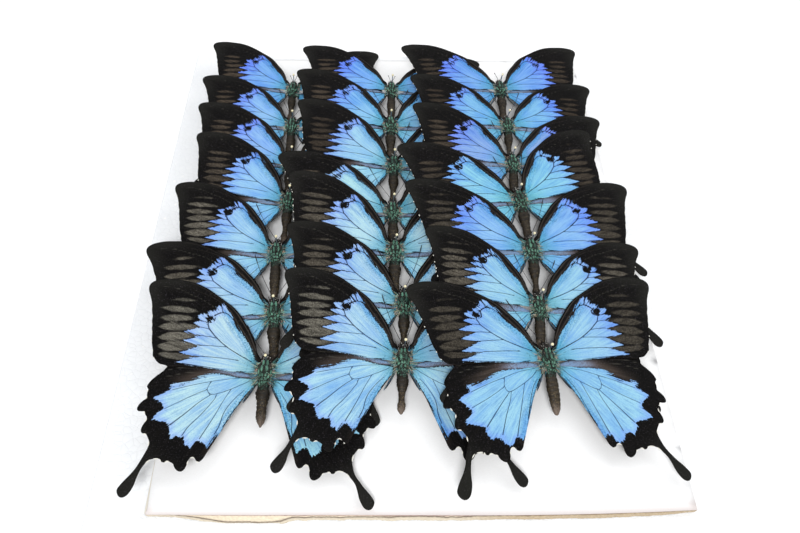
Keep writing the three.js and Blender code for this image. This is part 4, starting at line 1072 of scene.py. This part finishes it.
    # a pair of folded legs under the wing roots
    for s in (-1, 1):
        path = np.array([[s * 1.4, 3.0, -2.0], [s * 3.2, 5.2, -2.6], [s * 2.4, 8.6, -3.0], [s * 3.0, 11.0, -3.4]]) * size
        S, G = tube(catmull(path, 4), np.interp(np.linspace(0, 1, 13), [0, .5, 1], [.34, .24, .12]) * size, 5)
        parts.add(xf(S), G, 2, True, col=np.tile([*lin(34, 28, 22), 1], (len(S), 1)))


triangles = 0
for number, (name, spec) in enumerate(SPECIMENS.items()):
    X, Y, H, turn, size, fl, fr, hl, hr, right, abdomen, px, py = spec
    rng = np.random.default_rng(100 + number)
    R = rotation(turn)
    at = np.array([X, Y, CARD_TOP + H]) + SHIFT

    def xf(V, R=R, at=at):
        return V @ R.T + at

    base = lin(*TINT_AND_SHEEN[name]) * WHITE_GAIN * np.array([1.02, 1.02, .945])
    parts = Parts()
    fore, hinds = FAR if name[1] in "1234" else NEAR
    tl, tr = zip(TAILS.get(name, (0.0, 0.0)), TAIL_LONG.get(name, (1.0, 1.0)))
    seed = 11.3 * number
    for left, ang, sz in ((True, fl, size), (False, fr, size * right)):
        wing_piece(parts, fore, FORE_Z, FORE_HINGE, sz, ang, left, (0.0, 1.0), base, seed + 3 * left, xf, GREY.get(name, .66), DRAWN_BACK.get(name, 0.0), THIN[name[1]], VIOLET_SHEEN[name[1]], WARM[name[1]])
        fringe_piece(parts, fore, FORE_FRINGE, FORE_Z, FORE_HINGE, sz, ang, left, (0.0, 1.0), xf, rng)
    hind = hinds[name[0] == "C"]
    for left, ang, tail in ((True, hl, tl), (False, hr, tr)):
        # painted light: A7's right hindwing is coloured paler and more cyan, without the violet, to lift it out of the
        # shade it lies in
        painted_light_hindwing = name == "A7" and not left
        own = np.array([.85, 1.12, 1.2]) if painted_light_hindwing else np.array([.96, 1.015, 1.0])
        wing_piece(parts, hind, HIND_Z, HIND_HINGE, size, ang, left, tail, base * own, seed + 5 + 3 * left, xf, vio=0.0 if painted_light_hindwing else VIOLET_SHEEN[name[1]])
        fringe_piece(parts, hind, HIND_FRINGE, HIND_Z, HIND_HINGE, size, ang, left, tail, xf, rng)
    body_piece(parts, size, abdomen, xf, rng, {"A7": 2, "B7": 0, "C7": 1}.get(name, number % 3), name)
    ob = parts.build("specimen_" + name, [WING, BODY, FUR, EYE])
    triangles += len(ob.data.polygons)
    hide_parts("butterfly_" + name)
    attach(ob, "root")

    # pin: pointed steel shaft, glass bead with a short neck
    pin = Parts()
    top = BEAD_Z + BEAD_R
    zz = np.array([top - PIN_LEN, top - PIN_LEN + .5, top - PIN_LEN + 1.5, -10, 0, 4, BEAD_Z - .85, BEAD_Z - .45])
    rr = np.array([.02, .10, PIN_R, PIN_R, PIN_R, PIN_R, PIN_R, PIN_R])
    S, G = tube(np.c_[np.full(8, px), np.full(8, py), zz], rr, 10)
    pin.add(xf(S), G, 0, True)
    S, G = ball((px, py, BEAD_Z), BEAD_R, 18, 12, (1, 1, .96))
    pin.add(xf(S), G, 1, True)
    S, G = tube(np.array([[px, py, BEAD_Z - .95], [px, py, BEAD_Z - .7], [px, py, BEAD_Z - .5]]), [.27, .36, .5], 12)
    pin.add(xf(S), G, 1, True)
    po = pin.build("bead_pin_" + name, [STEEL, BEAD], False)
    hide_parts("pin_" + name)
    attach(po, "root")
print("specimen triangles", triangles)

# ---------------------------------------------------------------- card
CARD_OUTLINE = np.array([(-90.2, 1.3), (-89.6, .5), (-88.4, .1), (-68, -.2), (-45.5, -.52), (-21, -.7), (-4, -.92), (15, -1.18), (34, -1.44), (51, -1.6), (69, -1.56),
                         (84, -1.4), (100, -1.1), (111, -.82), (122.3, -.4), (123.2, 60), (124.0, 150), (124.4, 284.6), (-92.0, 285), (-91.4, 150), (-90.9, 60)]) + SHIFT[:2]


def card_piece():
    rng = np.random.default_rng(7)
    n = len(CARD_OUTLINE)
    runs = []
    for i in range(n):
        a, b = CARD_OUTLINE[i], CARD_OUTLINE[(i + 1) % n]
        front = max(a[1], b[1]) < SHIFT[1] + 2
        k = max(1, int(round(np.linalg.norm(b - a) / (.55 if front else 2.2))))
        runs.append(a + (b - a) * (np.arange(k) / k)[:, None])
    L = np.vstack(runs)
    m = len(L)
    t = np.roll(L, -1, 0) - np.roll(L, 1, 0)
    t /= np.linalg.norm(t, axis=1)[:, None]
    inward = np.c_[-t[:, 1], t[:, 0]]
    front = L[:, 1] < SHIFT[1] + 2
    x = L[:, 0] - SHIFT[0]
    jag = np.convolve(rng.normal(0, 1, m + 8), np.ones(3) / 3, "same")[:m]
    slow = np.convolve(rng.normal(0, 1, m + 40), np.ones(21) / 21, "same")[:m] * 2.2
    # the delaminated seam between the liner and the fluting: a long sag near the left, then ragged at mid height
    sag = np.interp(x, [-90, -82, -74.4, -68.7, -63, -59, -49, -41, -38.5, -36.5, -33, -30, -11, -1, 8, 18, 27, 37, 47, 66, 122],
                    [.90, .80, .62, .50, .36, .27, .24, .22, .34, .48, .50, .46, .46, .52, .66, .64, .52, .76, .82, .84, .86])
    flap = np.where(front, smooth(x, -84, -58) * (1 - smooth(x, -38, -32)), 0)
    seam = np.where(front, sag + np.where(x > -34, .05 * slow + .03 * jag, .01 * jag), .5)
    left = np.where((L[:, 0] < SHIFT[0] - 89) & ~((L[:, 1] > SHIFT[1] + 200)), 1.0, 0.0)
    levels = [0, .03, .08, .14, .20, .26, .32, .38, .44, .50, .56, .62, .70, .78, .855, .865, .93, .985, 1.0]
    V, C = [], []
    white = lin(248, 249, 250)
    ragged = np.convolve(rng.normal(0, 1, m + 12), np.ones(5) / 5, "same")[:m]
    edge = L[front][np.argsort(L[front][:, 0])]

    def paper_with_edge_shade(P):
        """The face is painted a little darker where it bends down to the front edge: painted shade."""
        near = np.exp(-np.clip(P[:, 1] - np.interp(P[:, 0], edge[:, 0], edge[:, 1]), 0, None) / 2.0)[:, None]
        return np.array(white)[None] * (1 - near) + np.array(lin(224, 216, 214))[None] * near

    for k, u in enumerate(levels):
        z = CARD_LOW + (CARD_TOP - CARD_LOW) * u
        width = np.where(x < -34, .085, .12)
        groove = np.exp(-((u - seam) / width) ** 2)
        off = np.where(front, .35 * groove * (1 - flap) + .12 * rng.uniform(0, 1, m) + .10 * (u < .4) * (ragged + .6), .02)
        off = off - flap * 2.3 * smooth(np.full(m, 1 - u), .05, .9)
        skew = np.interp(x, [-38, -33, 20, 46, 62, 84, 97, 110, 122], [.3, 1.55, 1.6, 1.15, 1.1, 1.1, 1.0, .8, .1])
        off = off - np.where(front & (x > -38), skew * (1 - u) * (.85 + .25 * ragged), 0)
        if u > .86:
            off = np.where(front, .02 * np.abs(jag), 0)
        off = off + left * (1.15 + .75 * np.exp(-((L[:, 1] - SHIFT[1]) / 11) ** 2)) * u
        P = L + inward * off[:, None]
        V.append(np.c_[P, np.full(m, z)])
        above = smooth(u - seam, -.02, .06)
        tan = (np.array(lin(236, 222, 196))[None] * above[:, None] + np.array(lin(224, 212, 190))[None] * (1 - above[:, None])) * rng.uniform(.84, 1.04, (m, 1))
        warm = smooth(x, 25, 55)[:, None]
        tan = tan * (1 - warm) + tan * np.array([.80, .72, .62])[None] * rng.uniform(.8, 1.1, (m, 1)) * warm
        # painted shade: the seam groove is darkened to a deep brown where shade falls into it
        seam_shade = groove * np.where(x < -34, .92, .80 + .18 * (slow > -.3)) * np.where(front, 1, .2)
        c = tan * (1 - seam_shade[:, None]) + lin(78, 58, 46)[None] * seam_shade[:, None]
        c = np.where(left[:, None] > 0, np.array(lin(236, 230, 216))[None] * rng.uniform(.95, 1.02, (m, 1)), c)
        if .85 < u < .98:
            c = np.where(left[:, None] > 0, lin(220, 213, 200)[None], (np.array(lin(178, 150, 140))[None] * (1 - warm) + np.array(lin(128, 100, 80))[None] * warm) * rng.uniform(.8, 1.15, (m, 1)))
        if u >= .985:
            c = paper_with_edge_shade(L)
        C.append(c)
    V, C = np.vstack(V), np.vstack(C)
    i = np.arange(m)
    j = (i + 1) % m
    F = []
    for k in range(len(levels) - 1):
        a, b = k * m, (k + 1) * m
        F += [np.stack([a + i, a + j, b + i], 1), np.stack([a + j, b + j, b + i], 1)]
    last = (len(levels) - 1) * m
    top, bottom = V[last:last + m, :2], V[:m, :2]
    parts = [V]
    cols = [C]
    count = len(V)
    for ring0, rim, z, flip in ((last, top, CARD_TOP, False), (0, bottom, CARD_LOW, True)):
        G, T = triangulate(rim, [], 4.5, 1.6)
        near = np.full(len(G), -1)
        for a in range(len(G)):
            d = np.hypot(*(rim - G[a]).T)
            k = int(d.argmin())
            if d[k] < 1e-3:
                near[a] = k
        new = near < 0
        idx = np.where(new, 0, near + ring0)
        idx[new] = count + np.arange(new.sum())
        Q = G[new]
        zz = z + (.10 * np.sin(Q[:, 0] * .045 + 1.0) * np.sin(Q[:, 1] * .035) * smooth(dist(Q, rim, True)[0], 0, 30) if not flip else 0 * Q[:, 0])
        parts.append(np.c_[Q, zz])
        cols.append(paper_with_edge_shade(Q) if not flip else np.tile(lin(205, 180, 148), (len(Q), 1)))
        count += len(Q)
        T = idx[T]
        F.append(T[:, ::-1] if flip else T)
    P = Parts()
    V, C, F = np.vstack(parts), np.vstack(cols), np.vstack(F)
    flat = np.ones(len(F), bool)
    P.add(V, F, 0, flat, col=np.c_[np.clip(C, 0, 1), np.ones(len(C))])
    # crisp wall shading
    P.s = [np.abs(np.cross(V[F[:, 1]] - V[F[:, 0]], V[F[:, 2]] - V[F[:, 0]]))[:, 2] > 1e-3]
    ob = P.build("card", [CARD], False)
    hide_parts("card_sheet")
    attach(ob, "root")
    return ob


card_piece()

# ---------------------------------------------------------------- foam slab keeps its CAD shape
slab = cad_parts["foam_slab"]
for s in slab.material_slots:
    s.material = FOAM

# ---------------------------------------------------------------- stage, light, camera
floor_parts = Parts()
floor_parts.add(np.array([[-2500, -2500, -.3], [2500, -2500, -.3], [2500, 2500, -.3], [-2500, 2500, -.3]], float), np.array([[0, 1, 2], [0, 2, 3]]), 0, False)
ft = Tree("floor_white")
ft.put(ft.bsdf.inputs["Base Color"], ft.mix(ft.noise(ft.coords(), 3, 2), rgba(252, 252, 254), rgba(254, 254, 255)))
ft.bsdf.inputs["Specular IOR Level"].default_value = .1
FLOOR = ft.set(Roughness=.8)
floor = floor_parts.build("floor", [FLOOR], False)

world = bpy.data.worlds.new("studio")
bpy.context.scene.world = world
world.use_nodes = True
world.node_tree.nodes["Background"].inputs[0].default_value = (1.0, .998, 1.0, 1)
world.node_tree.nodes["Background"].inputs[1].default_value = .52


def area(name, at, look, size, power, colour=(1, 1, 1)):
    d = bpy.data.lights.new(name, "AREA")
    d.shape, d.size, d.energy, d.color = "DISK", size, power, colour
    o = bpy.data.objects.new(name, d)
    bpy.context.scene.collection.objects.link(o)
    o.location = at
    o.rotation_euler = (Vector(look) - Vector(at)).to_track_quat("-Z", "Y").to_euler()
    return o


back = area("back_wide", (0, 1.6, 1.4), (0, 1.4, 0), 2.0, 9)
back.data.spread = math.radians(84)
area("front_key", (-.10, -.72, .86), (-.01, 0, 0), .34, 7.4)
area("right_window", (.80, .25, .80), (0, 0, 0), .8, 3.0)

cam = bpy.data.cameras.new("camera")
cam.sensor_width, cam.sensor_fit = 36.0, "HORIZONTAL"
cam.lens = 650.0 / 800.0 * 36.0
cam.clip_start, cam.clip_end = .01, 20
co = bpy.data.objects.new("camera", cam)
bpy.context.scene.collection.objects.link(co)
right, up_, back = (np.array(v) for v in ((.99966779, -.01673846, .01959933), (.00148099, .79647156, .60467417), (-.02573162, -.60444427, .79623176)))
C = (np.array([1.3, -75.2, 254.0 + CARD_TOP]) + SHIFT) * .001
co.matrix_world = Matrix(((right[0], up_[0], back[0], C[0]), (right[1], up_[1], back[1], C[1]), (right[2], up_[2], back[2], C[2]), (0, 0, 0, 1)))
bpy.context.scene.camera = co

sc = bpy.context.scene
sc.view_settings.view_transform = "Standard"
sc.view_settings.look = "None"

bpy.context.view_layer.update()
